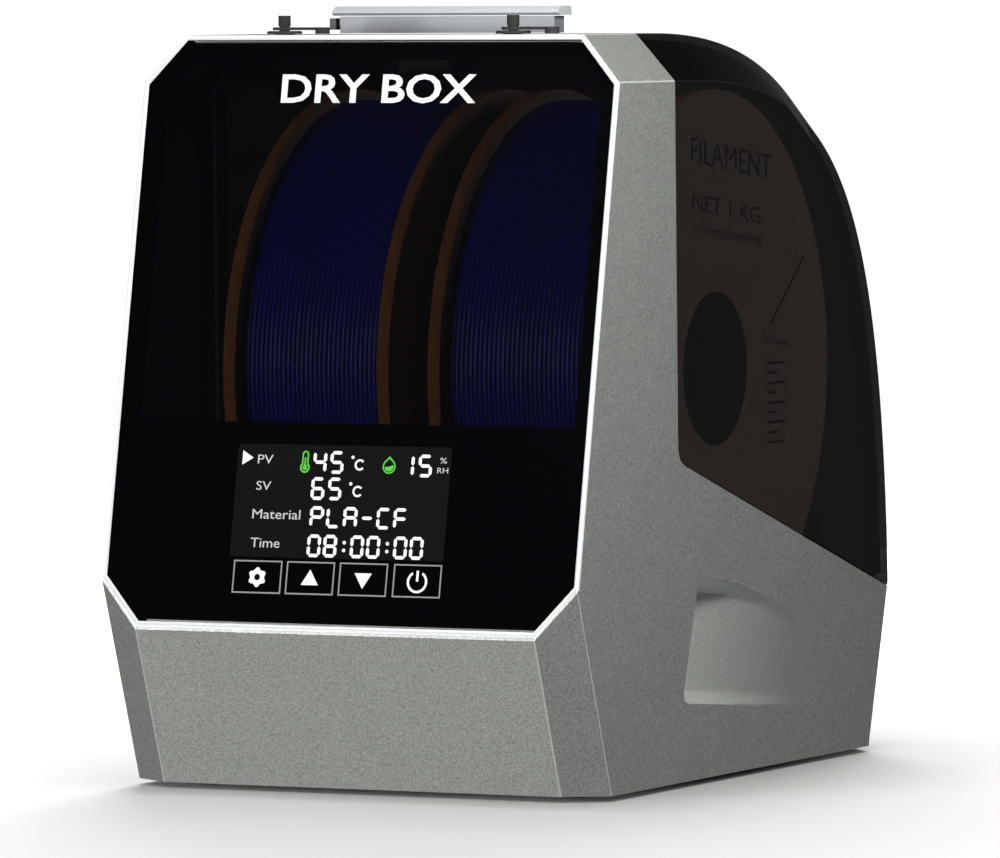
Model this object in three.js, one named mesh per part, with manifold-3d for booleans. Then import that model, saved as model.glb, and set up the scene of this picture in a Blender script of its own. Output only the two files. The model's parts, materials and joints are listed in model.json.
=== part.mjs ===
// Two-spool filament dryer box. A silver housing carries a raked octagonal front
// panel with a smoked window and a display, and a smoked lid that hinges at the rear.
// Two spools lie on rollers inside, above a fan and a heater.
// Millimetres, +Z up, the front faces -Y, the origin is under the middle of the box.

import * as THREE from 'three';
import { mergeVertices } from 'three/addons/utils/BufferGeometryUtils.js';
import Module from 'manifold-3d';

const wasm = await Module();
wasm.setup();

// ---- Driving dimensions ----------------------------------------------------------

const WIDTH = 185;
const HEIGHT = 263;
const FOOT_HEIGHT = 2;
const HALF = WIDTH / 2;
const WALL = 2.5;
const GAP = 0.3;

// Side outline of the case, (y, z), with y = 0 at the top edge of the front panel.
const PANEL_RUN = 41.2;
const PANEL_BOTTOM_Z = 55.3;
const BASE_FRONT = -20.5;
const BASE_REAR = 229.5;
const DOME_START = [247.1, 57.6];
const DOME_CONTROL_LOW = [241.8, 207.7];
const DOME_CONTROL_HIGH = [198.3, 263];
const DOME_END = [58.2, 263];
const DOME_STEPS = 16;

// Chamfers run along the top, rear and lower front edges.
const CHAMFER_X = 15;
const CHAMFER_DEPTH = 16.6;
const LOWER_CHAMFER_DEPTH = 9;

// Seam between the lid and the housing: a steep front line, a round corner and a
// line that falls towards the rear.
const SEAM_CORNER = [52.6, 118.6];
const SEAM_CORNER_RADIUS = 7.3;
const SEAM_LEAN = THREE.MathUtils.degToRad(0.7);
const SEAM_FALL = THREE.MathUtils.degToRad(16.6);
const SEAM_GAP = 0.35;

// Front panel stack, as depths behind the panel's front plane.
const BEZEL_WIDTH = 2.2;
const BEZEL_EXTRA_BELOW = 1.3;
const BEZEL_LIP = 1;
const BEZEL_DEPTH = 5;
const FLANGE_INSET = 8;
const FLANGE_FRONT = 3.8;
const WINDOW_FRONT = 0.5;
const MASK_TOP = 137;
const DISPLAY = { x0: -43, x1: 40, top: 145.4, bottom: 186 };

// Spools and the rollers that carry them.
const SPOOL_RADIUS = 100;
const SPOOL_WIDTH = 66;
const SPOOL_INNER_X = 7.5;
const SPOOL_CENTRE = [118.6, 142.5];
const SPOOL_BORE = 27.5;
const FLANGE_THICKNESS = 5;
const FILAMENT_RADIUS = 96;
const ROLLER_RADIUS = 8;
const ROLLER_REACH = 66.7;
const ROLLER_Z = 57.1;
const ROLLER_X = [9, 72.2];
const SHAFT_RADIUS = 3;

// Hinge behind the case, lid pull and filament outlets on top.
const HINGE_Y = 252;
const HINGE_Z = 56.5;
const HINGE_X = 50;
const KNUCKLE_RADIUS = 3.4;
const PIN_RADIUS = 1.5;
const OUTLET_X = 44.8;
const OUTLET_Y = 12.4;

const panelLean = Math.atan2(PANEL_RUN, HEIGHT - PANEL_BOTTOM_Z);
const panelLength = Math.hypot(PANEL_RUN, HEIGHT - PANEL_BOTTOM_Z);
const rearMost = HINGE_Y + KNUCKLE_RADIUS;
const centreY = (rearMost - PANEL_RUN) / 2;

// ---- Solids ----------------------------------------------------------------------

function solid(geometry) {
  const bare = geometry.clone();
  bare.deleteAttribute('normal');
  bare.deleteAttribute('uv');
  const merged = mergeVertices(bare, 1e-4);
  return new wasm.Manifold(new wasm.Mesh({
    numProp: 3,
    vertProperties: new Float32Array(merged.attributes.position.array),
    triVerts: new Uint32Array(merged.index.array),
  }));
}

function geometryOf(manifold) {
  const mesh = manifold.getMesh();
  const geometry = new THREE.BufferGeometry();
  geometry.setAttribute('position', new THREE.BufferAttribute(mesh.vertProperties, 3));
  geometry.setIndex(new THREE.BufferAttribute(mesh.triVerts, 1));
  geometry.computeVertexNormals();
  return geometry;
}

function join(first, ...others) {
  return others.reduce((sum, other) => sum.add(other), first);
}

function cut(first, ...others) {
  return others.reduce((rest, other) => rest.subtract(other), first);
}

// Closed skin through matching (y, z) outlines placed at rising x. Outlines run
// anticlockwise as seen from +X.
function loft(stations) {
  const count = stations[0].outline.length;
  const positions = stations.flatMap(({ x, outline }) => outline.flatMap(([y, z]) => [x, y, z]));
  const index = [];
  for (let s = 0; s + 1 < stations.length; s += 1) {
    for (let j = 0; j < count; j += 1) {
      const a = s * count + j;
      const b = s * count + (j + 1) % count;
      index.push(a, b, b + count, a, b + count, a + count);
    }
  }
  const last = (stations.length - 1) * count;
  for (const [offset, flip, station] of [[0, true, stations[0]], [last, false, stations.at(-1)]]) {
    const contour = station.outline.map(([y, z]) => new THREE.Vector2(y, z));
    for (const [a, b, c] of THREE.ShapeUtils.triangulateShape(contour, [])) {
      index.push(offset + a, offset + (flip ? c : b), offset + (flip ? b : c));
    }
  }
  const geometry = new THREE.BufferGeometry();
  geometry.setAttribute('position', new THREE.Float32BufferAttribute(positions, 3));
  geometry.setIndex(index);
  geometry.computeVertexNormals();
  return geometry;
}

// Plate with a (y, z) outline between two x values.
function plateX(outline, x0, x1) {
  return loft([{ x: x0, outline }, { x: x1, outline }]);
}

// Plate with an (x, y) outline between two z values.
function plateZ(outline, z0, z1) {
  const shape = new THREE.Shape(outline.map(([x, y]) => new THREE.Vector2(x, y)));
  const geometry = new THREE.ExtrudeGeometry(shape, { depth: z1 - z0, bevelEnabled: false });
  return geometry.translate(0, 0, z0);
}

function box(x0, x1, y0, y1, z0, z1) {
  const geometry = new THREE.BoxGeometry(x1 - x0, y1 - y0, z1 - z0);
  return geometry.translate((x0 + x1) / 2, (y0 + y1) / 2, (z0 + z1) / 2);
}

// Cylinder from x0 to x1 about the line (y, z).
function rodX(radius, x0, x1, y, z, segments = 16) {
  const geometry = new THREE.CylinderGeometry(radius, radius, x1 - x0, segments);
  return geometry.rotateZ(Math.PI / 2).translate((x0 + x1) / 2, y, z);
}

// Cylinder from z0 to z1 about the line (x, y).
function rodZ(radius, z0, z1, x, y, segments = 20) {
  const geometry = new THREE.CylinderGeometry(radius, radius, z1 - z0, segments);
  return geometry.rotateX(Math.PI / 2).translate(x, y, (z0 + z1) / 2);
}

// Turned ring along X: (x, radius) points, anticlockwise, that close on themselves.
function ringX(profile, y, z, segments) {
  const points = profile.map(([x, radius]) => new THREE.Vector2(radius, x)).reverse();
  points.push(points[0].clone());
  return new THREE.LatheGeometry(points, segments).rotateZ(-Math.PI / 2).translate(0, y, z);
}

// Turned ring along Z: (radius, z) points, anticlockwise, that close on themselves.
function ringZ(profile, x, y, segments) {
  const points = profile.map(([radius, z]) => new THREE.Vector2(radius, z));
  points.push(points[0].clone());
  return new THREE.LatheGeometry(points, segments).rotateX(Math.PI / 2).translate(x, y, 0);
}

// ---- Outlines --------------------------------------------------------------------

// Moves each edge of an anticlockwise outline inwards by its own inset and meets
// the neighbours again.
function insetOutline(points, insets) {
  const count = points.length;
  const edges = points.map(([y, z], i) => {
    const [nextY, nextZ] = points[(i + 1) % count];
    const length = Math.hypot(nextY - y, nextZ - z);
    const dy = (nextY - y) / length;
    const dz = (nextZ - z) / length;
    const inset = Array.isArray(insets) ? insets[i] : insets;
    return { y: y - dz * inset, z: z + dy * inset, dy, dz };
  });
  return points.map((_, i) => {
    const a = edges[(i + count - 1) % count];
    const b = edges[i];
    const cross = a.dy * b.dz - a.dz * b.dy;
    const along = ((b.y - a.y) * b.dz - (b.z - a.z) * b.dy) / cross;
    return [a.y + a.dy * along, a.z + a.dz * along];
  });
}

function domeCurve() {
  const curve = new THREE.CubicBezierCurve(
    new THREE.Vector2(...DOME_START),
    new THREE.Vector2(...DOME_CONTROL_LOW),
    new THREE.Vector2(...DOME_CONTROL_HIGH),
    new THREE.Vector2(...DOME_END),
  );
  return curve.getPoints(DOME_STEPS).map((point) => [point.x, point.y]);
}

const caseOutline = [
  [BASE_FRONT, 0],
  [BASE_REAR, 0],
  ...domeCurve(),
  [0, HEIGHT],
  [-PANEL_RUN, PANEL_BOTTOM_Z],
];

// Insets of the case outline's edges: base, rear and dome, panel, lower front.
function caseInsets(base, dome, panel, lower) {
  return [base, ...Array(DOME_STEPS + 2).fill(dome), panel, lower];
}

// The case as a solid, set in by a wall thickness on its skin, base and panel.
function caseSolid(inset, base = inset, panel = inset) {
  const middle = insetOutline(caseOutline, caseInsets(base, inset, panel, inset));
  const side = insetOutline(caseOutline, caseInsets(
    base,
    CHAMFER_DEPTH + 0.385 * inset,
    panel,
    LOWER_CHAMFER_DEPTH + 0.566 * inset,
  ));
  const sideX = HALF - inset;
  const creaseX = HALF - CHAMFER_X - 0.444 * inset;
  return solid(loft([
    { x: -sideX, outline: side },
    { x: -creaseX, outline: middle },
    { x: creaseX, outline: middle },
    { x: sideX, outline: side },
  ]));
}

// Everything on the lid's side of the seam. A positive shift moves the seam
// towards the housing.
function lidRegion(shift) {
  const far = 340;
  const radius = SEAM_CORNER_RADIUS + shift;
  const [cornerY, cornerZ] = SEAM_CORNER;
  const arc = [];
  const steps = 6;
  const start = Math.PI - SEAM_LEAN;
  const end = 1.5 * Math.PI - SEAM_FALL;
  for (let i = 0; i <= steps; i += 1) {
    const angle = start + ((end - start) * i) / steps;
    arc.push([cornerY + radius * Math.cos(angle), cornerZ + radius * Math.sin(angle)]);
  }
  const [topY, topZ] = arc[0];
  const [lowY, lowZ] = arc.at(-1);
  return solid(plateX([
    ...arc,
    [far, lowZ - (far - lowY) * Math.tan(SEAM_FALL)],
    [far, far],
    [topY - (far - topZ) * Math.tan(SEAM_LEAN), far],
  ], -WIDTH, WIDTH));
}

// Octagon of the front panel in panel coordinates: x across, y up the slope from
// the panel's top edge.
function panelOctagon(inset) {
  const low = panelLength - BEZEL_EXTRA_BELOW;
  const widest = HALF - inset;
  const shoulder = 17;
  const top = [
    [widest, -(shoulder + 0.378 * inset)],
    [HALF - CHAMFER_X - 0.451 * inset, -inset],
    [-(HALF - CHAMFER_X - 0.451 * inset), -inset],
    [-widest, -(shoulder + 0.378 * inset)],
  ];
  const bottom = top.map(([x, y]) => [-x, -low - y]);
  return [...top, ...bottom];
}

const panelMatrix = new THREE.Matrix4()
  .makeRotationX(Math.PI / 2 - panelLean)
  .setPosition(0, 0, HEIGHT);

// Solid in front panel coordinates, between two depths behind the panel.
function panelPlate(outline, depth0, depth1) {
  return solid(plateZ(outline, -depth1, -depth0).applyMatrix4(panelMatrix));
}

function rectangle(x0, x1, top, bottom) {
  return [[x0, -bottom], [x1, -bottom], [x1, -top], [x0, -top]];
}

// ---- Materials -------------------------------------------------------------------

function finish(color, roughness, metalness = 0, opacity = 1) {
  return new THREE.MeshStandardMaterial({
    color,
    roughness,
    metalness,
    opacity,
    transparent: opacity < 1,
    flatShading: true,
  });
}

const silverPlastic = finish(0xa4a7aa, 0.45, 0.3);
const brightRim = finish(0xd9dbdd, 0.25, 0.6);
const smokedPlastic = finish(0x14161a, 0.08, 0, 0.5);
const blackGloss = finish(0x08090a, 0.1);
const blackPlastic = finish(0x1a1b1d, 0.55);
const darkPlastic = finish(0x3a3c3f, 0.5);
const greyPlastic = finish(0x74787b, 0.5);
const blackRubber = finish(0x121212, 0.85);
const steel = finish(0xb9bcc0, 0.25, 1);
const aluminium = finish(0xc5c8cb, 0.35, 0.9);
const nylon = finish(0xe4e2da, 0.4);
const circuitBoard = finish(0x0f4a2c, 0.5);
const magnetNickel = finish(0xc9c7c2, 0.2, 1);
const cardboard = finish(0x8a5a34, 0.85);
const blueFilament = finish(0x1c2a6e, 0.35);

// ---- Scene graph -----------------------------------------------------------------

const dryer = new THREE.Group();
dryer.position.set(0, -centreY, FOOT_HEIGHT);
dryer.updateMatrixWorld();

function add(name, shape, material) {
  const geometry = shape.isBufferGeometry ? shape : geometryOf(shape);
  const mesh = new THREE.Mesh(geometry, material);
  mesh.name = name;
  dryer.add(mesh);
}

const sides = [['left', -1], ['right', 1]];
const outer = caseSolid(0);

// Lifting scoop in a side wall: a pocket that is deepest at its front edge and
// ramps out to the surface. It grows by a margin to make its wall and clearances.
function scoop(side, margin) {
  const depth = 14;
  const front = 50;
  const rear = 165;
  const outline = insetOutline([
    [56, 22.5], [164, 22.5], [168, 30], [160.8, 47.7], [150, 53], [123.6, 62], [97.5, 68],
    [63, 71], [48.6, 38.4], [47.6, 31], [50.2, 25],
  ], -margin);
  const ramp = [[HALF + 4, rear + 12], [HALF + 4, front - 12], [HALF - depth - margin, front - 12]];
  const steps = 8;
  for (let i = 0; i <= steps; i += 1) {
    const u = i / steps;
    ramp.push([HALF - margin - depth * (1 - u) ** 2, front + (rear - front) * u]);
  }
  ramp.push([HALF - margin, rear + 12]);
  const along = solid(plateX(outline, HALF - 30, HALF + 3));
  const floor = solid(plateZ(ramp.reverse(), 0, 100));
  return side > 0 ? along.intersect(floor) : along.intersect(floor).mirror([1, 0, 0]);
}

const scoops = sides.map(([, side]) => scoop(side, 0));
const scoopWalls = sides.map(([, side]) => scoop(side, 2.2).intersect(outer));
const scoopClearances = sides.map(([, side]) => scoop(side, 2.2 + 2 * GAP));

// Plane that the housing's front edge stops at, behind the bezel.
function beyondPanel(depth) {
  return panelPlate([[-WIDTH, -2 * HEIGHT], [WIDTH, -2 * HEIGHT], [WIDTH, HEIGHT], [-WIDTH, HEIGHT]],
    -WIDTH, depth);
}

const inlet = { x0: -13, x1: 13, z0: 14, z1: 32 };

function makeHousing() {
  const shell = cut(outer, caseSolid(WALL, -WALL, -WALL), lidRegion(SEAM_GAP));
  const ledge = cut(caseSolid(WALL / 2), caseSolid(6), lidRegion(4.8), beyondPanel(40))
    .intersect(lidRegion(7));
  const bores = sides.map(([, side]) => solid(
    rodZ(4, HEIGHT - 2 * WALL, HEIGHT + 1, side * OUTLET_X, OUTLET_Y),
  ));
  return cut(
    join(shell, ledge, ...scoopWalls),
    ...scoops,
    ...bores,
    beyondPanel(BEZEL_LIP + GAP),
    caseSolid(WALL / 2 - GAP / 2, WALL, 0).intersect(beyondPanel(BEZEL_DEPTH + GAP)),
    solid(box(inlet.x0, inlet.x1, 215, 260, inlet.z0, inlet.z1)),
  );
}
add('housing', makeHousing(), silverPlastic);

// ---- Front panel -----------------------------------------------------------------

// The bezel's lip covers the housing's front edge, and its body sits inside it.
add('front_bezel', cut(
  join(
    outer.intersect(beyondPanel(BEZEL_LIP)),
    caseSolid(WALL / 2 + GAP / 2, WALL, 0).intersect(beyondPanel(BEZEL_DEPTH)),
  ),
  panelPlate(panelOctagon(BEZEL_WIDTH), -1, FLANGE_FRONT),
  panelPlate(panelOctagon(FLANGE_INSET), 0, BEZEL_DEPTH + 1),
), brightRim);

add('front_window', panelPlate(
  panelOctagon(BEZEL_WIDTH + GAP), WINDOW_FRONT, FLANGE_FRONT - GAP,
), smokedPlastic);

const belowWindow = panelPlate(rectangle(-WIDTH, WIDTH, MASK_TOP, panelLength), 0, 10);
add('panel_mask', cut(
  panelPlate(panelOctagon(FLANGE_INSET + GAP), FLANGE_FRONT, BEZEL_DEPTH).intersect(belowWindow),
  panelPlate(rectangle(DISPLAY.x0, DISPLAY.x1, DISPLAY.top, DISPLAY.bottom), 0, 10),
), blackGloss);

add('display_module', join(
  panelPlate(rectangle(
    DISPLAY.x0 + GAP, DISPLAY.x1 - GAP, DISPLAY.top + GAP, DISPLAY.bottom - GAP,
  ), 4, 6),
  panelPlate(rectangle(DISPLAY.x0 - 3, DISPLAY.x1 + 3, DISPLAY.top - 3, DISPLAY.bottom + 3), 5.5, 9),
), darkPlastic);

add('control_board', panelPlate(rectangle(-52, 52, 152, 205), 10.5, 12.1), circuitBoard);

// ---- Lid -------------------------------------------------------------------------

function makeLid() {
  const lidSide = lidRegion(-SEAM_GAP);
  const shell = cut(outer, caseSolid(WALL)).intersect(lidSide);
  const rib = cut(caseSolid(WALL / 2), caseSolid(5.3), lidRegion(-4.2)).intersect(lidSide);
  return join(shell, rib);
}
add('lid_dome', makeLid(), smokedPlastic);

const gasketBand = cut(caseSolid(2.8), caseSolid(5.3), beyondPanel(40))
  .intersect(lidRegion(4.5));
add('lid_gasket', cut(gasketBand, lidRegion(0.3)), blackRubber);

// Lid pull: a riser under an overhanging cap, with a release tab at its left end.
const PULL = { half: 42.3, front: 51, rear: 59, top: HEIGHT + 6.2 };
const tabSlot = { depth: 9.5, y0: 53, y1: 56.6, z0: HEIGHT + 2.6, z1: HEIGHT + 5.4 };
add('lid_pull', cut(
  solid(box(-PULL.half, PULL.half, PULL.front, PULL.rear, HEIGHT + GAP, PULL.top)),
  solid(box(-PULL.half - 1, -PULL.half + tabSlot.depth, tabSlot.y0, tabSlot.y1, tabSlot.z0, tabSlot.z1)),
), greyPlastic);

add('lid_pull_cap', plateX([
  [PULL.front - 0.5, PULL.top + GAP],
  [PULL.rear + 1, PULL.top + GAP],
  [PULL.rear + 1, PULL.top + 2.6],
  [PULL.rear, PULL.top + 3.6],
  [PULL.front + 1.5, PULL.top + 3.6],
  [PULL.front - 1, PULL.top + 2.4],
  [PULL.front - 1.8, PULL.top + 1.2],
], -OUTLET_X, OUTLET_X), greyPlastic);

add('release_tab', join(
  solid(box(-47, -44.6, tabSlot.y0 - 1, tabSlot.y1 + 1, HEIGHT + 1.5, HEIGHT + 5.6)),
  solid(box(-45, -36, tabSlot.y0 + GAP, tabSlot.y1 - GAP, tabSlot.z0 + GAP, tabSlot.z1 - GAP)),
), darkPlastic);

// Magnetic catch across the seam, under the top.
add('catch_magnet', box(-10, 10, 33, 41, HEIGHT - 13, HEIGHT - 6.3), magnetNickel);
add('catch_plate', box(-11, 11, 49.5, 52, HEIGHT - 13, HEIGHT - WALL - GAP), steel);

// ---- Hinges ----------------------------------------------------------------------

function rearWallY(z) {
  return BASE_REAR + ((DOME_START[0] - BASE_REAR) / DOME_START[1]) * z;
}

function arcPoints(centreY2, centreZ, radius, startDegrees, endDegrees, steps) {
  const points = [];
  for (let i = 0; i <= steps; i += 1) {
    const angle = THREE.MathUtils.degToRad(startDegrees + ((endDegrees - startDegrees) * i) / steps);
    points.push([centreY2 + radius * Math.cos(angle), centreZ + radius * Math.sin(angle)]);
  }
  return points;
}

for (const [name, side] of sides) {
  const x = side * HINGE_X;
  const pinHole = solid(rodX(PIN_RADIUS + 0.15, x - 20, x + 20, HINGE_Y, HINGE_Z));
  const bracket = plateX([
    [rearWallY(30) + GAP, 30],
    [rearWallY(32) + 4, 32],
    ...arcPoints(HINGE_Y, HINGE_Z, KNUCKLE_RADIUS, -30, 180, 8),
    [rearWallY(48) + GAP, 48],
  ], x - 13, x + 13);
  const knuckleRoom = solid(box(x - 6.5, x + 6.5, HINGE_Y - 8, HINGE_Y + 8, HINGE_Z - 6, HINGE_Z + 8));
  add(`hinge_bracket_${name}`, cut(solid(bracket), knuckleRoom, pinHole), greyPlastic);
  const leaf = plateX([
    [HINGE_Y - 3.2, HINGE_Z + 1],
    [HINGE_Y - 0.6, HINGE_Z + 1],
    [HINGE_Y - 0.6, HINGE_Z + 26],
    [HINGE_Y - 3.2, HINGE_Z + 26],
  ], x - 6, x + 6);
  const barrel = rodX(KNUCKLE_RADIUS, x - 6, x + 6, HINGE_Y, HINGE_Z);
  add(`hinge_knuckle_${name}`, cut(join(solid(barrel), solid(leaf)), pinHole), greyPlastic);
  add(`hinge_pin_${name}`, rodX(PIN_RADIUS, x - 13, x + 13, HINGE_Y, HINGE_Z, 12), steel);
}

// ---- Filament outlets ------------------------------------------------------------

for (const [name, side] of sides) {
  const x = side * OUTLET_X;
  const top = HEIGHT + GAP;
  add(`outlet_grommet_${name}`, ringZ([
    [2.3, HEIGHT - 7], [3.6, HEIGHT - 7], [3.6, top], [6.2, top], [6.2, top + 0.7],
    [5.8, top + 1], [2.3, top + 1],
  ], x, OUTLET_Y, 24), blackRubber);
  add(`outlet_plug_${name}`, join(
    solid(rodZ(1.9, HEIGHT - 5, top + 6.4, x, OUTLET_Y)),
    solid(rodZ(2.2, top + 2.7, top + 6.4, x, OUTLET_Y)),
  ), blackRubber);
  const strap = join(
    solid(rodZ(4.2, top + 1.3, top + 2.3, x, OUTLET_Y)),
    solid(box(x, x + 15, OUTLET_Y - 1.6, OUTLET_Y + 1.6, top + 1.3, top + 2.3)),
    solid(rodZ(2.6, top, top + 2.3, x + 15, OUTLET_Y)),
  );
  add(`plug_tether_${name}`, cut(strap, solid(rodZ(2.25, HEIGHT, top + 5, x, OUTLET_Y))), blackRubber);
}

// ---- Chamber tray, heater and fan ------------------------------------------------

const trayTop = [[-17, 128], [22, 68], [44, 44], [60, 35], [177, 35], [190, 43], [248, 43]];
const trayFloor = 35;
const TRAY_THICKNESS = 2;
const bossPlaces = [[-68, 68], [68, 68], [-68, 171], [68, 171]];
const FAN = { x: 0, y: 118.6, half: 30, z0: 8, z1: 18 };

function makeTray() {
  const under = trayTop.map(([y, z]) => [y, z - TRAY_THICKNESS]);
  const outline = [...under, ...trayTop.slice().reverse()];
  const sheet = solid(plateX(outline, -HALF, HALF)).intersect(caseSolid(WALL + GAP, 0, 14));
  const bosses = bossPlaces.map(([x, y]) => solid(rodZ(4, 4, trayFloor - 1, x, y, 14)));
  const holes = bossPlaces.map(([x, y]) => solid(rodZ(1.9, 3, trayFloor - 6, x, y, 12)));
  const slots = [];
  for (let i = -4; i <= 4; i += 1) {
    slots.push(solid(box(i * 6 - 1.5, i * 6 + 1.5, FAN.y - 24, FAN.y + 24, 20, 40)));
  }
  return cut(join(sheet, ...bosses), ...holes, ...slots, ...scoopClearances);
}
add('chamber_tray', makeTray(), blackPlastic);

function makeHeater() {
  const frame = solid(box(-30, 30, FAN.y - 30, FAN.y + 30, 19.5, 29));
  const fins = [];
  for (let i = -4; i <= 4; i += 1) {
    fins.push(solid(box(i * 6 - 1.8, i * 6 + 1.8, FAN.y - 25, FAN.y + 25, 10, 40)));
  }
  return cut(frame, ...fins);
}
add('heater', makeHeater(), aluminium);

function makeFanFrame() {
  const { x, y, half, z0, z1 } = FAN;
  const body = solid(box(x - half, x + half, y - half, y + half, z0, z1));
  const ring = cut(body, solid(rodZ(28, z0 - 1, z1 + 1, x, y, 32)));
  const spokes = [0, 1].map((turn) => solid(
    new THREE.BoxGeometry(58, 4, 1.6).rotateZ(Math.PI / 4 + (turn * Math.PI) / 2)
      .translate(x, y, z0 + 0.8),
  ));
  const seat = solid(rodZ(9, z0, z0 + 1.6, x, y, 20));
  return cut(join(ring, ...spokes, seat), solid(rodZ(1.7, z0 - 1, z0 + 3, x, y, 12)));
}
add('fan_frame', makeFanFrame(), blackPlastic);

function makeFanRotor() {
  const { x, y, z0, z1 } = FAN;
  const hub = solid(rodZ(11, z0 + 2, z1 - 0.6, x, y, 20));
  const axle = solid(rodZ(1.5, z0 - 0.5, z0 + 3, x, y, 10));
  const blades = [];
  const bladeCount = 7;
  for (let i = 0; i < bladeCount; i += 1) {
    const blade = new THREE.BoxGeometry(17.5, 1.2, 8).rotateX(0.7).translate(17.5, 0, z0 + 5.7);
    blade.rotateZ((i * 2 * Math.PI) / bladeCount).translate(x, y, 0);
    blades.push(solid(blade));
  }
  return join(hub, axle, ...blades);
}
add('fan_rotor', makeFanRotor(), blackPlastic);

add('power_board', join(
  solid(box(-62, 24, 184, 218, 6, 7.6)),
  solid(box(-56, -28, 190, 212, 7, 24)),
  solid(rodZ(7, 7, 26, -10, 200)),
), circuitBoard);

add('power_inlet', cut(
  solid(box(inlet.x0 + GAP, inlet.x1 - GAP, 219, 240.5, inlet.z0 + GAP, inlet.z1 - GAP)),
  solid(box(inlet.x0 + 4, inlet.x1 - 4, 230, 250, inlet.z0 + 4, inlet.z1 - 4)),
), blackPlastic);

add('humidity_sensor', box(HALF - 5.4, HALF - WALL - GAP, 92, 108, 73, 83), nylon);

// ---- Base ------------------------------------------------------------------------

const BASE_PLATE = { z0: 1, z1: 3.5 };

function makeBasePlate() {
  const { z0, z1 } = BASE_PLATE;
  const slab = solid(box(-WIDTH, WIDTH, -100, 300, z0, z1));
  const slots = [];
  for (let i = -4; i <= 4; i += 1) {
    slots.push(solid(box(i * 6 - 1.5, i * 6 + 1.5, FAN.y - 24, FAN.y + 24, 0, 10)));
  }
  const screwHoles = bossPlaces.map(([x, y]) => solid(rodZ(1.9, 0, 10, x, y, 12)));
  return cut(caseSolid(WALL + GAP, 0).intersect(slab), ...slots, ...screwHoles);
}
add('base_plate', makeBasePlate(), darkPlastic);

const footPlaces = { front: 6, rear: 204 };
for (const [name, side] of sides) {
  for (const [end, y] of Object.entries(footPlaces)) {
    const top = BASE_PLATE.z0 - GAP;
    add(`foot_${end}_${name}`, rodZ(8, -FOOT_HEIGHT, top, side * 70, y, 24), blackRubber);
  }
}

bossPlaces.forEach(([x, y], i) => {
  const top = BASE_PLATE.z0 - GAP;
  add(`base_screw_${i + 1}`, join(
    solid(rodZ(3, top - 1.6, top, x, y, 12)),
    solid(rodZ(1.5, top - 0.5, 16, x, y, 10)),
  ), steel);
});

// ---- Rollers ---------------------------------------------------------------------

const [spoolY, spoolZ] = SPOOL_CENTRE;
const rollerRows = [['front', spoolY - ROLLER_REACH], ['rear', spoolY + ROLLER_REACH]];

function cradle(x0, x1) {
  const [front, rear] = rollerRows.map(([, y]) => y);
  const foot = trayFloor + GAP;
  const outline = [
    [front + 14, foot],
    [rear - 14, foot],
    ...arcPoints(rear, ROLLER_Z, 5.5, -35, 145, 6),
    [rear - 24, foot + 4.5],
    [front + 24, foot + 4.5],
    ...arcPoints(front, ROLLER_Z, 5.5, 35, 215, 6),
  ];
  const bores = [front, rear].map((y) => solid(
    rodX(SHAFT_RADIUS + 0.15, x0 - 1, x1 + 1, y, ROLLER_Z),
  ));
  return cut(solid(plateX(outline, x0, x1)), ...bores);
}

const cradleInner = ROLLER_X[1] + 0.4;
add('roller_cradle_left', cradle(-cradleInner - 3, -cradleInner), greyPlastic);
add('roller_cradle_middle', cradle(-4, 4), greyPlastic);
add('roller_cradle_right', cradle(cradleInner, cradleInner + 3), greyPlastic);

for (const [row, y] of rollerRows) {
  add(`roller_shaft_${row}`, rodX(SHAFT_RADIUS, -cradleInner - 3, cradleInner + 3, y, ROLLER_Z), steel);
  for (const [name, side] of sides) {
    const [x0, x1] = side > 0 ? ROLLER_X : [-ROLLER_X[1], -ROLLER_X[0]];
    const bushRadius = 4.6;
    add(`roller_bush_${row}_${name}`, ringX([
      [x0 + 1, SHAFT_RADIUS + 0.05], [x1 - 1, SHAFT_RADIUS + 0.05],
      [x1 - 1, bushRadius], [x0 + 1, bushRadius],
    ], y, ROLLER_Z, 20), nylon);
    add(`roller_${row}_${name}`, ringX([
      [x0, bushRadius + GAP], [x1, bushRadius + GAP], [x1, ROLLER_RADIUS - 0.5],
      [x1 - 0.5, ROLLER_RADIUS], [x0 + 0.5, ROLLER_RADIUS], [x0, ROLLER_RADIUS - 0.5],
    ], y, ROLLER_Z, 24), blackPlastic);
  }
}

// ---- Spools ----------------------------------------------------------------------

for (const [name, side] of sides) {
  const edges = [SPOOL_INNER_X, SPOOL_INNER_X + SPOOL_WIDTH];
  const [x0, x1] = side > 0 ? edges : [-edges[1], -edges[0]];
  const coreRadius = 38;
  const inner0 = x0 + FLANGE_THICKNESS;
  const inner1 = x1 - FLANGE_THICKNESS;
  add(`spool_${name}`, ringX([
    [x0, SPOOL_BORE], [x1, SPOOL_BORE], [x1, SPOOL_RADIUS], [inner1, SPOOL_RADIUS],
    [inner1, coreRadius], [inner0, coreRadius], [inner0, SPOOL_RADIUS], [x0, SPOOL_RADIUS],
  ], spoolY, spoolZ, 48), cardboard);
  add(`filament_${name}`, ringX([
    [inner0 + GAP, coreRadius + GAP], [inner1 - GAP, coreRadius + GAP],
    [inner1 - GAP, FILAMENT_RADIUS], [inner0 + GAP, FILAMENT_RADIUS],
  ], spoolY, spoolZ, 40), blueFilament);
}

export default dryer;
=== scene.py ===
"""Looks of the two-spool filament dryer box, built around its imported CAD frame.

Outlines are worked out in the case's own millimetres, with y = 0 at the top edge
of the front panel and z = 0 at the bottom edge of the case, and put() takes them
to the row frame in metres.
"""

import math
import json

import bmesh
import bpy
from mathutils import Matrix, Vector


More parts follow.
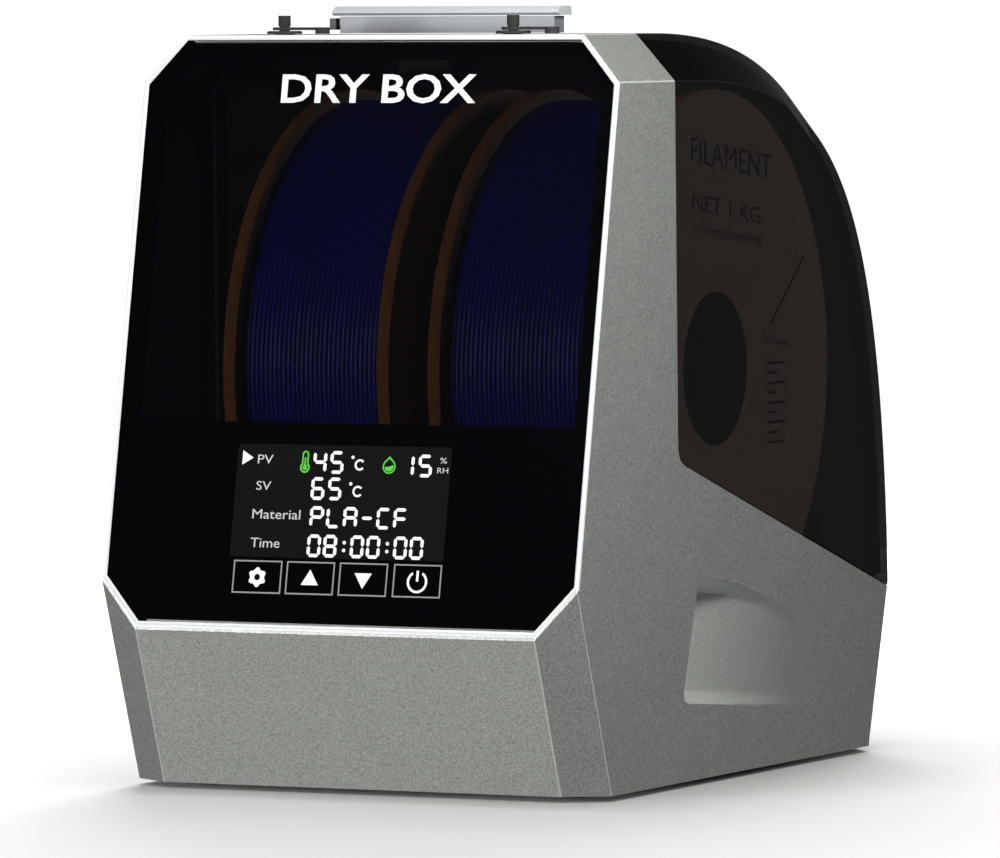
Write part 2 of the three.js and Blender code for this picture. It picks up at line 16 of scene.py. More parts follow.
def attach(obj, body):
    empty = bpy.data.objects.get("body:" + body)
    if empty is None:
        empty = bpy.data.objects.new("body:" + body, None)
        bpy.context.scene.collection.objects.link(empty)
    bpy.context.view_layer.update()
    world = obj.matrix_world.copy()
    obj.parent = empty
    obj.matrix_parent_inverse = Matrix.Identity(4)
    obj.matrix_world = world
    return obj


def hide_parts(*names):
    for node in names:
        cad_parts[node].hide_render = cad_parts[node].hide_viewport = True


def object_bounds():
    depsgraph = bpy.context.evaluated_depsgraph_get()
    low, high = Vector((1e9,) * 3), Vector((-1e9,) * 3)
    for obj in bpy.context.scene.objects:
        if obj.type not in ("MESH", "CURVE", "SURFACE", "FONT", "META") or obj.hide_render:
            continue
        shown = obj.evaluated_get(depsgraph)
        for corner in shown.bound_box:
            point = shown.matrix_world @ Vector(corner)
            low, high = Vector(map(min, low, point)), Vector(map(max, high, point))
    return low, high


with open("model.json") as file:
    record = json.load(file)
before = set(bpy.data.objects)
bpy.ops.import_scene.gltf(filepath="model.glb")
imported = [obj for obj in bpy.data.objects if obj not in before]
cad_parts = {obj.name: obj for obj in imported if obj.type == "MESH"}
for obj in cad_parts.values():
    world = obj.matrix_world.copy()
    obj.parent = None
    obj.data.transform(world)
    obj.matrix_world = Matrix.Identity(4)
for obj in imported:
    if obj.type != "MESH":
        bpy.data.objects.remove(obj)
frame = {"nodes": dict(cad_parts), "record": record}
cad_low, cad_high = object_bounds()
scene = bpy.context.scene

# ---- Driving dimensions, millimetres ----

WIDTH = 185.0
HALF = WIDTH / 2
HEIGHT = 263.0
FOOT_HEIGHT = 2.0
WALL = 2.5
PANEL_RUN = 41.2
PANEL_BOTTOM_Z = 55.3
BASE_FRONT = -20.5
BASE_REAR = 229.5
DOME = ((247.1, 57.6), (241.8, 207.7), (198.3, 263.0), (58.2, 263.0))
CHAMFER_X = 15.0
CHAMFER_DEPTH = 16.6
LOWER_CHAMFER_DEPTH = 9.0
PANEL_SHOULDER = 17.0
CREASE_RADIUS = 1.7

# How far a corner of the chamfers moves for each millimetre its faces are set in.
SIDE_STEP = 0.385
CREASE_STEP = 0.444
LOWER_STEP = 0.566
SHOULDER_STEP = 0.378
NARROW_STEP = 0.451

SEAM_CORNER = (52.6, 118.6)
SEAM_CORNER_RADIUS = 7.3
SEAM_LEAN = math.radians(0.7)
SEAM_FALL = math.radians(16.6)
SEAM_GAP = 0.35

BEZEL_EXTRA_BELOW = 1.3
BEZEL_LIP = 1.0
BEZEL_DEPTH = 5.0
BEZEL_LEAN = math.radians(31.8)
GAP = 0.3

SPOOL_RADIUS = 100.0
SPOOL_WIDTH = 66.0
SPOOL_INNER_X = 7.5
SPOOL_CENTRE = (118.6, 142.5)
SPOOL_BORE = 27.5
SPOOL_CORE = 38.0
FLANGE = 5.0
FILAMENT_RADIUS = 96.0
STRAND = 1.75
STRAND_STEPS = 6
TURN_STEPS = 128

PANEL_LEAN = math.atan2(PANEL_RUN, HEIGHT - PANEL_BOTTOM_Z)
PANEL_LENGTH = math.hypot(PANEL_RUN, HEIGHT - PANEL_BOTTOM_Z)

MM = 0.001
SHIFT = Vector((0.0, cad_low[1] + PANEL_RUN * MM, FOOT_HEIGHT * MM))
SIDES = (("left", -1), ("right", 1))

CAMERA_PLACE = (1391.5, -2784.3, 278.1)
CAMERA_YAW = math.radians(25.81)
CAMERA_PITCH = math.radians(-2.82)
CAMERA_ROLL = math.radians(-0.27)
CAMERA_SENSOR = 36.0
CAMERA_LENS = 320.2


def put(x, y, z):
    """Case millimetres to the row frame."""
    return Vector((x, y, z)) * MM + SHIFT


def panel(x, down, out=0.0):
    """A point on the front panel: down the slope from its top edge, and out of it."""
    y = -down * math.sin(PANEL_LEAN) - out * math.cos(PANEL_LEAN)
    z = HEIGHT - down * math.cos(PANEL_LEAN) + out * math.sin(PANEL_LEAN)
    return put(x, y, z)


# ---- Camera ----


def add_camera():
    data = bpy.data.cameras.new("camera")
    data.sensor_width = CAMERA_SENSOR
    data.lens = CAMERA_LENS
    data.clip_end = 100.0
    camera = bpy.data.objects.new("camera", data)
    scene.collection.objects.link(camera)
    forward = Vector((
        -math.sin(CAMERA_YAW) * math.cos(CAMERA_PITCH),
        math.cos(CAMERA_YAW) * math.cos(CAMERA_PITCH),
        math.sin(CAMERA_PITCH),
    ))
    level = Vector((math.cos(CAMERA_YAW), math.sin(CAMERA_YAW), 0.0))
    upright = level.cross(forward)
    right = level * math.cos(CAMERA_ROLL) + upright * math.sin(CAMERA_ROLL)
    up = upright * math.cos(CAMERA_ROLL) - level * math.sin(CAMERA_ROLL)
    turn = Matrix((right, up, -forward)).transposed()
    camera.matrix_world = Matrix.Translation(put(*CAMERA_PLACE)) @ turn.to_4x4()
    scene.camera = camera


add_camera()

# ---- Outlines ----


def inset_outline(points, insets):
    """Moves each edge of an anticlockwise outline inwards and meets them again."""
    count = len(points)
    edges = []
    for i, (y, z) in enumerate(points):
        next_y, next_z = points[(i + 1) % count]
        length = math.hypot(next_y - y, next_z - z)
        dy, dz = (next_y - y) / length, (next_z - z) / length
        edges.append((y - dz * insets[i], z + dy * insets[i], dy, dz))
    result = []
    for i in range(count):
        ay, az, ady, adz = edges[i - 1]
        by, bz, bdy, bdz = edges[i]
        cross = ady * bdz - adz * bdy
        along = ((by - ay) * bdz - (bz - az) * bdy) / cross
        result.append((ay + ady * along, az + adz * along))
    return result


def dome_curve(steps):
    """Points of the lid's cubic curve, from the rear up to the top."""
    points = []
    for i in range(steps + 1):
        t = i / steps
        weights = ((1 - t) ** 3, 3 * (1 - t) ** 2 * t, 3 * (1 - t) * t * t, t ** 3)
        points.append(tuple(sum(w * p[k] for w, p in zip(weights, DOME)) for k in (0, 1)))
    return points


DOME_STEPS = 72
CASE_OUTLINE = [
    (BASE_FRONT, 0.0),
    (BASE_REAR, 0.0),
    *dome_curve(DOME_STEPS),
    (0.0, HEIGHT),
    (-PANEL_RUN, PANEL_BOTTOM_Z),
]


def case_ring(base, dome, panel_inset, lower):
    """The case outline with its base, dome, panel and lower front face set in."""
    insets = [base, *[dome] * (DOME_STEPS + 2), panel_inset, lower]
    return inset_outline(CASE_OUTLINE, insets)


def fillet(before, corner, after, radius, steps):
    """Points of a round that replaces a corner."""
    a = (Vector(before) - Vector(corner)).normalized()
    b = (Vector(after) - Vector(corner)).normalized()
    half = a.angle(b) / 2
    reach = radius / math.tan(half)
    centre = Vector(corner) + (a + b).normalized() * (radius / math.sin(half))
    start = Vector(corner) + a * reach - centre
    end = Vector(corner) + b * reach - centre
    points = []
    for i in range(steps + 1):
        t = i / steps
        spoke = start.lerp(end, t).normalized() * radius
        points.append(tuple(centre + spoke))
    return points


ROUND_STEPS = 4
# The middle strips of the four rounds that run along the chamfers, which take a painted highlight.
CREASE_HIGHLIGHT_STRIPS = [turn * (ROUND_STEPS + 1) + step for turn in range(4) for step in (1, 2)]


def case_stations(inset, base=None, panel_inset=None):
    """Outlines of the case at rising x, set in by a wall thickness."""
    base = inset if base is None else base
    panel_inset = inset if panel_inset is None else panel_inset
    side = (HALF - inset, CHAMFER_DEPTH + SIDE_STEP * inset)
    crease = (HALF - CHAMFER_X - CREASE_STEP * inset, inset)
    inward, middle = (side[0], HEIGHT), (0.0, crease[1])
    section = [
        *fillet(inward, side, crease, CREASE_RADIUS, ROUND_STEPS),
        *fillet(side, crease, middle, CREASE_RADIUS, ROUND_STEPS),
    ]
    lower_slope = (LOWER_CHAMFER_DEPTH + LOWER_STEP * inset - inset) / (side[1] - inset)
    rings = []
    for x, depth in section:
        lower = inset + (depth - inset) * lower_slope
        rings.append((x, case_ring(base, depth, panel_inset, lower)))
    mirrored = [(-x, ring) for x, ring in rings]
    return mirrored + rings[::-1]


def lid_region(shift):
    """Outline of everything on the lid's side of the seam."""
    far = 340.0
    radius = SEAM_CORNER_RADIUS + shift
    start = math.pi - SEAM_LEAN
    end = 1.5 * math.pi - SEAM_FALL
    steps = 12
    arc = []
    for i in range(steps + 1):
        angle = start + (end - start) * i / steps
        arc.append((
            SEAM_CORNER[0] + radius * math.cos(angle),
            SEAM_CORNER[1] + radius * math.sin(angle),
        ))
    (top_y, top_z), (low_y, low_z) = arc[0], arc[-1]
    return [
        *arc,
        (far, low_z - (far - low_y) * math.tan(SEAM_FALL)),
        (far, far),
        (top_y - (far - top_z) * math.tan(SEAM_LEAN), far),
    ]


def panel_octagon(inset, extra_below=BEZEL_EXTRA_BELOW):
    """Corners of the front panel in panel coordinates, from the upper right one."""
    shoulder = PANEL_SHOULDER + SHOULDER_STEP * inset
    narrow = HALF - CHAMFER_X - NARROW_STEP * inset
    wide = HALF - inset
    top = [(wide, shoulder), (narrow, inset), (-narrow, inset), (-wide, shoulder)]
    bottom = [(-x, PANEL_LENGTH - extra_below - down) for x, down in top]
    return top + bottom


# ---- Meshes ----


def make_object(name, vertices, faces):
    mesh = bpy.data.meshes.new(name)
    mesh.from_pydata([tuple(v) for v in vertices], [], faces)
    mesh.update()
    obj = bpy.data.objects.new(name, mesh)
    scene.collection.objects.link(obj)
    return obj


def loft(name, stations, marked=()):
    """Closed skin through matching (y, z) outlines at rising x.

    The strips that start at the marked stations take the second material.
    """
    count = len(stations[0][1])
    vertices = [put(x, y, z) for x, outline in stations for y, z in outline]
    faces = []
    for s in range(len(stations) - 1):
        for j in range(count):
            a = s * count + j
            b = s * count + (j + 1) % count
            faces.append((a, b, b + count, a + count))
    last = (len(stations) - 1) * count
    faces.append(tuple(range(count))[::-1])
    faces.append(tuple(range(last, last + count)))
    obj = make_object(name, vertices, faces)
    for polygon in obj.data.polygons:
        if polygon.index // count in marked:
            polygon.material_index = 1
    return obj


def plate_x(name, outline, x0, x1):
    return loft(name, [(x0, outline), (x1, outline)])


def panel_slab(name, outline, depth0, depth1):
    """Plate parallel to the front panel, between two depths behind it."""
    count = len(outline)
    vertices = [panel(x, down, -depth0) for x, down in outline]
    vertices += [panel(x, down, -depth1) for x, down in outline]
    faces = [tuple(range(count)), tuple(range(count, 2 * count))[::-1]]
    for j in range(count):
        k = (j + 1) % count
        faces.append((j, j + count, k + count, k))
    obj = make_object(name, vertices, faces)
    recalculate(obj)
    return obj


def recalculate(obj):
    work = bmesh.new()
    work.from_mesh(obj.data)
    bmesh.ops.recalc_face_normals(work, faces=work.faces)
    work.to_mesh(obj.data)
    work.free()


def apply_modifiers(obj):
    depsgraph = bpy.context.evaluated_depsgraph_get()
    mesh = bpy.data.meshes.new_from_object(obj.evaluated_get(depsgraph))
    old = obj.data
    obj.modifiers.clear()
    obj.data = mesh
    mesh.name = obj.name
    bpy.data.meshes.remove(old)


def combine(obj, tool, operation):
    """Boolean that uses the tool up."""
    modifier = obj.modifiers.new("combine", "BOOLEAN")
    modifier.operation = operation
    modifier.solver = "EXACT"
    modifier.object = tool
    apply_modifiers(obj)
    mesh = tool.data
    bpy.data.objects.remove(tool)
    bpy.data.meshes.remove(mesh)
    return obj


def soften(obj, width, angle=24):
    """Rounded edges of a given width in millimetres, with flat faces kept flat."""
    modifier = obj.modifiers.new("soften", "BEVEL")
    modifier.width = width * MM
    modifier.segments = 2
    modifier.limit_method = "ANGLE"
    modifier.angle_limit = math.radians(angle)
    modifier.harden_normals = True
    modifier.use_clamp_overlap = True


def shade(obj, angle):
    """Smooth shading with sharp edges above an angle in degrees."""
    mesh = obj.data
    mesh.polygons.foreach_set("use_smooth", [True] * len(mesh.polygons))
    mesh.set_sharp_from_angle(angle=math.radians(angle))


def turned(name, profile, centre):
    """Ring turned about an axis along x, from closed (along, radius) points."""
    count = len(profile)
    vertices = []
    for s in range(TURN_STEPS):
        angle = 2 * math.pi * s / TURN_STEPS
        for along, radius in profile:
            y = centre[0] + radius * math.cos(angle)
            z = centre[1] + radius * math.sin(angle)
            vertices.append(put(along, y, z))
    faces = []
    for s in range(TURN_STEPS):
        t = (s + 1) % TURN_STEPS
        for j in range(count):
            k = (j + 1) % count
            faces.append((s * count + j, s * count + k, t * count + k, t * count + j))
    obj = make_object(name, vertices, faces)
    recalculate(obj)
    return obj


PIECE_BEVEL_ANGLE = 38


def finish_piece(obj, body, material, slot, *nodes, extra=(), bevel=0.0, angle=30,
                 weighted=False):
    """Gives a piece its materials, edges, shading and place in the frame."""
    indices = [polygon.material_index for polygon in obj.data.polygons]
    obj.data.materials.clear()
    for entry in (material, *extra):
        obj.data.materials.append(entry)
    obj.data.polygons.foreach_set("material_index", indices)
    if bevel:
        soften(obj, bevel, PIECE_BEVEL_ANGLE)
        apply_modifiers(obj)
    shade(obj, angle)
    if weighted:
        modifier = obj.modifiers.new("weighted", "WEIGHTED_NORMAL")
        modifier.keep_sharp = True
        modifier.weight = 100
        apply_modifiers(obj)
    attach(obj, body)
    if nodes:
        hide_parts(*nodes)
    return obj


# ---- Materials ----


class Nodes:
    """A material's node tree with a principled shader."""

    def __init__(self, name, colour, roughness, metallic=0.0, alpha=1.0, specular=0.5):
        self.material = bpy.data.materials.new(name)
        self.material.use_nodes = True
        self.tree = self.material.node_tree
        self.shader = self.tree.nodes["Principled BSDF"]
        self.set("Base Color", (*colour, 1.0))
        self.set("Roughness", roughness)
        self.set("Metallic", metallic)
        self.set("Alpha", alpha)
        self.set("Specular IOR Level", specular)

    def set(self, socket, value):
        self.shader.inputs[socket].default_value = value

    def add(self, kind):
        return self.tree.nodes.new(kind)

    def link(self, output, target):
        self.tree.links.new(output, target)

    def coordinates(self):
        return self.add("ShaderNodeTexCoord").outputs["Object"]

    def noise(self, scale, detail=2.0, rough=0.5, stretch=None):
        node = self.add("ShaderNodeTexNoise")
        node.inputs["Scale"].default_value = scale
        node.inputs["Detail"].default_value = detail
        node.inputs["Roughness"].default_value = rough
        vector = self.coordinates()
        if stretch:
            mapping = self.add("ShaderNodeMapping")
            mapping.inputs["Scale"].default_value = stretch
            self.link(vector, mapping.inputs["Vector"])
            vector = mapping.outputs["Vector"]
        self.link(vector, node.inputs["Vector"])
        return node.outputs["Fac"]

    def ramp(self, value, stops):
        node = self.add("ShaderNodeValToRGB")
        elements = node.color_ramp.elements
        while len(elements) < len(stops):
            elements.new(0.5)
        for element, (position, colour) in zip(elements, stops):
            element.position = position
            element.color = (*colour, 1.0)
        self.link(value, node.inputs["Fac"])
        return node.outputs["Color"]

    def colour(self, output):
        self.link(output, self.shader.inputs["Base Color"])

    def spread(self, value, socket, low, high):
        """Maps a 0 to 1 value onto a number socket."""
        node = self.add("ShaderNodeMapRange")
        node.inputs["To Min"].default_value = low
        node.inputs["To Max"].default_value = high
        self.link(value, node.inputs["Value"])
        self.link(node.outputs["Result"], self.shader.inputs[socket])

    def bump(self, value, strength, distance):
        node = self.add("ShaderNodeBump")
        node.inputs["Strength"].default_value = strength
        node.inputs["Distance"].default_value = distance
        self.link(value, node.inputs["Height"])
        self.link(node.outputs["Normal"], self.shader.inputs["Normal"])


def shaded(colour, factor):
    return tuple(channel * factor for channel in colour)


def grained(name, colour, roughness, metallic=0.0, spread=0.12, scale=900.0, bump=0.08,
            specular=0.5):
    """Moulded or painted surface with a fine grain."""
    nodes = Nodes(name, colour, roughness, metallic, specular=specular)
    grain = nodes.noise(scale, detail=3.0, rough=0.6)
    nodes.colour(nodes.ramp(grain, [
        (0.3, shaded(colour, 1 - spread)),
        (0.5, colour),
        (0.7, shaded(colour, 1 + spread)),
    ]))
    wear = nodes.noise(45.0, detail=4.0)
    nodes.spread(wear, "Roughness", roughness - 0.05, roughness + 0.07)
    nodes.bump(grain, bump, 0.0004)
    return nodes.material


def make_scoop_painted_light():
    """Silver of the finger pockets with painted light: lighter at the deep front end, fading to a
    darker tone towards the rear.
    """
    nodes = Nodes("scoop_painted_light", SILVER, 0.46, 0.5)
    grain = nodes.noise(1500.0, detail=3.0, rough=0.6)
    shades = []
    for factor in SCOOP_LIGHT_TONES:
        tone = shaded(SILVER, factor)
        shades.append(nodes.ramp(grain, [
            (0.3, shaded(tone, 0.78)), (0.5, tone), (0.7, shaded(tone, 1.22)),
        ]))
    split = nodes.add("ShaderNodeSeparateXYZ")
    nodes.link(nodes.coordinates(), split.inputs["Vector"])
    reach = nodes.add("ShaderNodeMapRange")
    reach.inputs["From Min"].default_value = put(0.0, SCOOP_LIGHT_FADE[0], 0.0).y
    reach.inputs["From Max"].default_value = put(0.0, SCOOP_LIGHT_FADE[1], 0.0).y
    nodes.link(split.outputs["Y"], reach.inputs["Value"])
    mix = nodes.add("ShaderNodeMix")
    mix.data_type = "RGBA"
    nodes.link(reach.outputs["Result"], mix.inputs["Factor"])
    nodes.link(shades[0], mix.inputs["A"])
    nodes.link(shades[1], mix.inputs["B"])
    nodes.colour(mix.outputs["Result"])
    nodes.bump(grain, 0.08, 0.0004)
    return nodes.material


def smoked(name, alpha, roughness, specular, colour=(0.002, 0.002, 0.0024)):
    """See-through dark plastic with an uneven haze."""
    nodes = Nodes(name, colour, roughness, alpha=alpha, specular=specular)
    nodes.set("IOR", 1.3)
    haze = nodes.noise(30.0, detail=2.0)
    nodes.spread(haze, "Roughness", roughness, roughness + 0.03)
    return nodes.material


def glowing(name, colour, strength):
    """A lit mark of the display, nearly black where it isn't lit."""
    nodes = Nodes(name, colour, 0.5)
    nodes.set("Emission Color", (*colour, 1.0))
    nodes.set("Emission Strength", strength)
    dark, light = shaded(colour, 0.1), shaded(colour, 0.14)
    nodes.colour(nodes.ramp(nodes.noise(400.0), [(0.3, dark), (0.7, light)]))
    return nodes.material


def make_cardboard(name, colour):
    nodes = Nodes(name, colour, 0.85, specular=0.2)
    fibres = nodes.noise(260.0, detail=6.0, rough=0.7)
    nodes.colour(nodes.ramp(fibres, [
        (0.25, shaded(colour, 0.7)), (0.5, colour), (0.75, shaded(colour, 1.25)),
    ]))
    nodes.bump(fibres, 0.25, 0.0003)
    return nodes.material


def make_metal(name, colour, roughness):
    """Bare metal, brushed along x."""
    nodes = Nodes(name, colour, roughness, metallic=1.0)
    streaks = nodes.noise(700.0, detail=3.0, stretch=(0.05, 1.0, 1.0))
    nodes.colour(nodes.ramp(streaks, [(0.3, shaded(colour, 0.85)), (0.7, colour)]))
    nodes.spread(streaks, "Roughness", roughness - 0.06, roughness + 0.08)
    nodes.bump(streaks, 0.06, 0.0002)
    return nodes.material


def make_filament():
    colour = (0.004, 0.004, 0.55)
    nodes = Nodes("filament", colour, 0.32)
    drift = nodes.noise(60.0, detail=3.0, stretch=(1.0, 0.2, 0.2))
    nodes.colour(nodes.ramp(drift, [(0.3, shaded(colour, 0.8)), (0.7, shaded(colour, 1.15))]))
    nodes.bump(nodes.noise(1500.0), 0.05, 0.0002)
    return nodes.material


def make_board():
    colour = (0.012, 0.09, 0.045)
    nodes = Nodes("circuit_board", colour, 0.4)
    tracks = nodes.add("ShaderNodeTexBrick")
    tracks.inputs["Scale"].default_value = 120.0
    tracks.inputs["Mortar Size"].default_value = 0.03
    for socket, factor in (("Color1", 1.0), ("Color2", 1.3), ("Mortar", 2.6)):
        tracks.inputs[socket].default_value = (*shaded(colour, factor), 1.0)
    nodes.link(nodes.coordinates(), tracks.inputs["Vector"])
    nodes.colour(tracks.outputs["Color"])
    return nodes.material


SILVER = (0.4, 0.408, 0.386)
# Painted light in the finger pockets: a brightened front tone and a darkened rear tone of the
# silver, blended over this span of y.
SCOOP_LIGHT_FADE = (66.0, 140.0)
SCOOP_LIGHT_TONES = (1.42, 0.88)
silver = grained("silver_paint", SILVER, 0.44, 0.6, spread=0.33, scale=1400.0)
# Lighter copy of the silver for the crease strips: a painted highlight along the creases.
crease_painted_highlight = grained("crease_painted_highlight", shaded(SILVER, 1.6), 0.4, 0.4, spread=0.15, scale=1500.0)
scoop_painted_light = make_scoop_painted_light()
rim_silver = grained("rim_silver", (0.9, 0.91, 0.92), 0.3, 0.1, spread=0.03, bump=0.03)
# Darker copy of the rim's silver for its lower flat faces: painted shade.
rim_painted_shade = grained("rim_painted_shade", (0.55, 0.565, 0.57), 0.4, 0.2, spread=0.08, bump=0.03)
# Lighter, more opaque copy of the lid plastic for the crease strips: a painted highlight along the
# lid's creases.
smoked_crease_highlight = smoked("smoked_crease_highlight", 0.9, 0.12, 0.5, (0.014, 0.014, 0.015))
smoked_lid = smoked("smoked_lid", 0.84, 0.06, 0.35)
# More opaque, barely reflective copy of the lid plastic for the chamfers: painted shade.
smoked_chamfer_shade = smoked("smoked_chamfer_shade", 0.96, 0.2, 0.04)
smoked_window = smoked("smoked_window", 0.86, 0.03, 0.08)
black_gloss = grained("black_gloss", (0.004, 0.004, 0.004), 0.15, spread=0.1, bump=0.01)
black_plastic = grained("black_plastic", (0.012, 0.012, 0.013), 0.5, spread=0.2)
dark_plastic = grained("dark_plastic", (0.04, 0.042, 0.045), 0.5, spread=0.15)
grey_plastic = grained("grey_plastic", (0.33, 0.345, 0.355), 0.4, 0.2, spread=0.08)
# Darker and lighter copies of the pull's grey plastic: painted shade on the riser, painted light
# on the cap.
pull_riser_shade = grained("pull_riser_shade", (0.21, 0.22, 0.23), 0.45, 0.2, spread=0.06)
pull_cap = grained("pull_cap", (0.56, 0.575, 0.585), 0.4, 0.2, spread=0.05)
rubber = grained("rubber", (0.012, 0.012, 0.012), 0.75, spread=0.25, scale=600.0, bump=0.15)
nylon = grained("nylon", (0.74, 0.72, 0.66), 0.4, spread=0.05)
steel = make_metal("steel", (0.55, 0.56, 0.57), 0.28)
alloy = make_metal("heater_alloy", (0.7, 0.71, 0.73), 0.38)
nickel = make_metal("magnet_nickel", (0.6, 0.58, 0.54), 0.2)
cardboard = make_cardboard("cardboard", (0.42, 0.16, 0.05))
printed_card = make_cardboard("printed_card", (0.24, 0.18, 0.145))
filament = make_filament()
board = make_board()
display_dark = grained("display_dark", (0.006, 0.006, 0.0062), 0.8, spread=0.1, bump=0.0,
                       specular=0.05)
lit_white = glowing("lit_white", (1.0, 1.0, 1.0), 1.0)
lit_grey = glowing("lit_grey", (0.45, 0.45, 0.45), 0.45)
lit_label = glowing("lit_label", (0.7, 0.7, 0.7), 0.7)
lit_green = glowing("lit_green", (0.07, 0.62, 0.015), 0.8)
printed_white = grained("printed_white", (0.9, 0.9, 0.9), 0.5, spread=0.03, bump=0.02)
# Black ink of the spool print, also used as painted shade on the spools' bore walls.
ink_and_bore_shade = grained("ink_and_bore_shade", (0.004, 0.004, 0.004), 0.9, spread=0.2, specular=0.05)

SLOT_MATERIALS = {
    "silver_body": silver,
    "bright_rim": rim_silver,
    "smoked_window": smoked_window,
    "smoked_lid": smoked_lid,
    "black_mask": black_gloss,
    "display": display_dark,
    "circuit_board": board,
    "dark_base": dark_plastic,
    "rubber": rubber,
    "outlet_rubber": rubber,
    "steel": steel,
    "magnet": nickel,
    "black_plastic": black_plastic,
    "heater_alloy": alloy,
    "grey_plastic": grey_plastic,
    "tab_plastic": dark_plastic,
    "nylon": nylon,
    "cardboard": cardboard,
    "filament": filament,
}
# The lid pull takes painted shade on its riser and painted light on its cap.
NODE_MATERIALS = {"lid_pull": pull_riser_shade, "lid_pull_cap": pull_cap}
SOFTENED = {
    "release_tab": 0.4, "power_inlet": 0.4, "base_plate": 0.3, "fan_frame": 0.3,
    "panel_mask": 0.1, "front_window": 0.12,
}
for pair, width in (
    ("outlet_grommet", 0.3), ("outlet_plug", 0.35), ("plug_tether", 0.25),
    ("hinge_bracket", 0.35), ("hinge_knuckle", 0.35), ("foot_front", 0.5), ("foot_rear", 0.5),
):
    SOFTENED.update({f"{pair}_{name}": width for name, _ in SIDES})


def dress_cad_nodes():
    """Every carried-over CAD node gets its slot's material or one of its own, and the listed nodes
    get softened edges.
    """
    slots = {entry["node"]: entry["material_slot"] for entry in frame["record"]["subparts"]}
    for name, obj in frame["nodes"].items():
        obj.data.materials.clear()
        obj.data.materials.append(NODE_MATERIALS.get(name, SLOT_MATERIALS[slots[name]]))
        if name in SOFTENED:
            soften(obj, SOFTENED[name])


dress_cad_nodes()

# ---- Case and lid ----


def case_solid(name, inset, base=None, panel_inset=None, marked=()):
    return loft(name, case_stations(inset, base, panel_inset), marked)


def seam_tool(shift):
    return plate_x("seam_tool", lid_region(shift), -WIDTH, WIDTH)


def front_tool(depth):
    """Everything in front of a plane at a depth behind the panel's front."""
    corners = [(-WIDTH, -HEIGHT), (WIDTH, -HEIGHT), (WIDTH, 2 * HEIGHT), (-WIDTH, 2 * HEIGHT)]
    return panel_slab("front_tool", corners, -WIDTH, depth)


def box_tool(x0, x1, y0, y1, z0, z1):
    return plate_x("box_tool", [(y0, z0), (y1, z0), (y1, z1), (y0, z1)], x0, x1)


def rod_z(radius, z0, z1, x, y):
    """Upright cylinder, closed at both ends."""
    segments = 48
    vertices = []
    for z in (z0, z1):
        for k in range(segments):
            angle = 2 * math.pi * k / segments
            vertices.append(put(x + radius * math.cos(angle), y + radius * math.sin(angle), z))
    faces = [tuple(range(segments))[::-1], tuple(range(segments, 2 * segments))]
    for k in range(segments):
        m = (k + 1) % segments
        faces.append((k, m, m + segments, k + segments))
    return make_object("bore", vertices, faces)


SCOOP_DEPTH = 14.0
SCOOP_REAR = 168.0
SCOOP_LOW_FRONT = (47.6, 27.4)
SCOOP_FALL = 9.5
SCOOP_HIGH_FRONT = (62.0, 71.2)
SCOOP_TOP = [(0.0, 71.2), (0.33, 68.0), (0.58, 61.8), (0.83, 52.6), (0.93, 47.5), (1.0, 42.0)]
SCOOP_CORNER = 5.0
SCOOP_SILL = 4.5
SCOOP_BROW = 5.0
SCOOP_MOUTH = 3.0
SCOOP_ZONE = (16.0, 73.0)


def ease(t):
    """Smooth step from 0 to 1."""
    t = min(max(t, 0.0), 1.0)
    return t * t * (3 - 2 * t)


def scoop_top(u):
    """Height of the pocket's upper edge, from its front at 0 to its rear at 1."""
    for (u0, z0), (u1, z1) in zip(SCOOP_TOP, SCOOP_TOP[1:]):
        if u <= u1:
            return z0 + (z1 - z0) * (u - u0) / (u1 - u0)
    return SCOOP_TOP[-1][1]


def scoop_tool(side, margin):
    """Finger pocket with a square front wall and a floor that ramps out rearwards."""
    rows, columns = 26, 36
    clearance = 0.02
    slope = (SCOOP_HIGH_FRONT[0] - SCOOP_LOW_FRONT[0]) / (SCOOP_HIGH_FRONT[1] - SCOOP_LOW_FRONT[1])
    floor, mouth = [], []
    for i in range(columns + 1):
        u = (i / columns) ** 1.3
        high = scoop_top(u) + margin
        low = SCOOP_LOW_FRONT[1] - SCOOP_FALL * u - margin
        for j in range(rows + 1):
            v = j / rows
            v = 0.5 * v + 0.5 * ease(v)
            z = low + (high - low) * v
            front = SCOOP_LOW_FRONT[0] - margin + slope * (z - SCOOP_LOW_FRONT[1])
            rise = z - low
            if rise < SCOOP_CORNER:
                front += SCOOP_CORNER - math.sqrt(SCOOP_CORNER ** 2 - (SCOOP_CORNER - rise) ** 2)
            y = front + (SCOOP_REAR + margin - front) * u
            edge = ease(rise / SCOOP_SILL) * ease((high - z) / SCOOP_BROW)
            depth = SCOOP_DEPTH * (1 - u) ** 2 * edge + margin - clearance
            floor.append(put(side * (HALF - depth), y, z))
            mouth.append(put(side * (HALF + SCOOP_MOUTH), y, z))
    count = len(floor)
    stride = rows + 1
    faces = []
    for i in range(columns):
        for j in range(rows):
            a = i * stride + j
            faces.append((a, a + 1, a + 1 + stride, a + stride))
            faces.append((a + count, a + stride + count, a + 1 + stride + count, a + 1 + count))
    rim = [i * stride for i in range(columns + 1)]
    rim += [columns * stride + j for j in range(1, stride)]
    rim += [i * stride + rows for i in range(columns - 1, -1, -1)]
    rim += list(range(rows - 1, 0, -1))
    for a, b in zip(rim, rim[1:] + rim[:1]):
        faces.append((a, b, b + count, a + count))
    obj = make_object("scoop_tool", floor + mouth, faces)
    recalculate(obj)
    return obj


INLET_HALF = 13.0
INLET_Y = (215.0, 260.0)
INLET_Z = (14.0, 32.0)
OUTLET_X = 44.8
OUTLET_Y = 12.4
OUTLET_BORE = 4.0
LEDGE_DEPTH = 6.0
LEDGE_SEAM = (4.8, 7.0)
LEDGE_FRONT = 40.0
RIB_DEPTH = 5.3
RIB_SEAM = 4.2


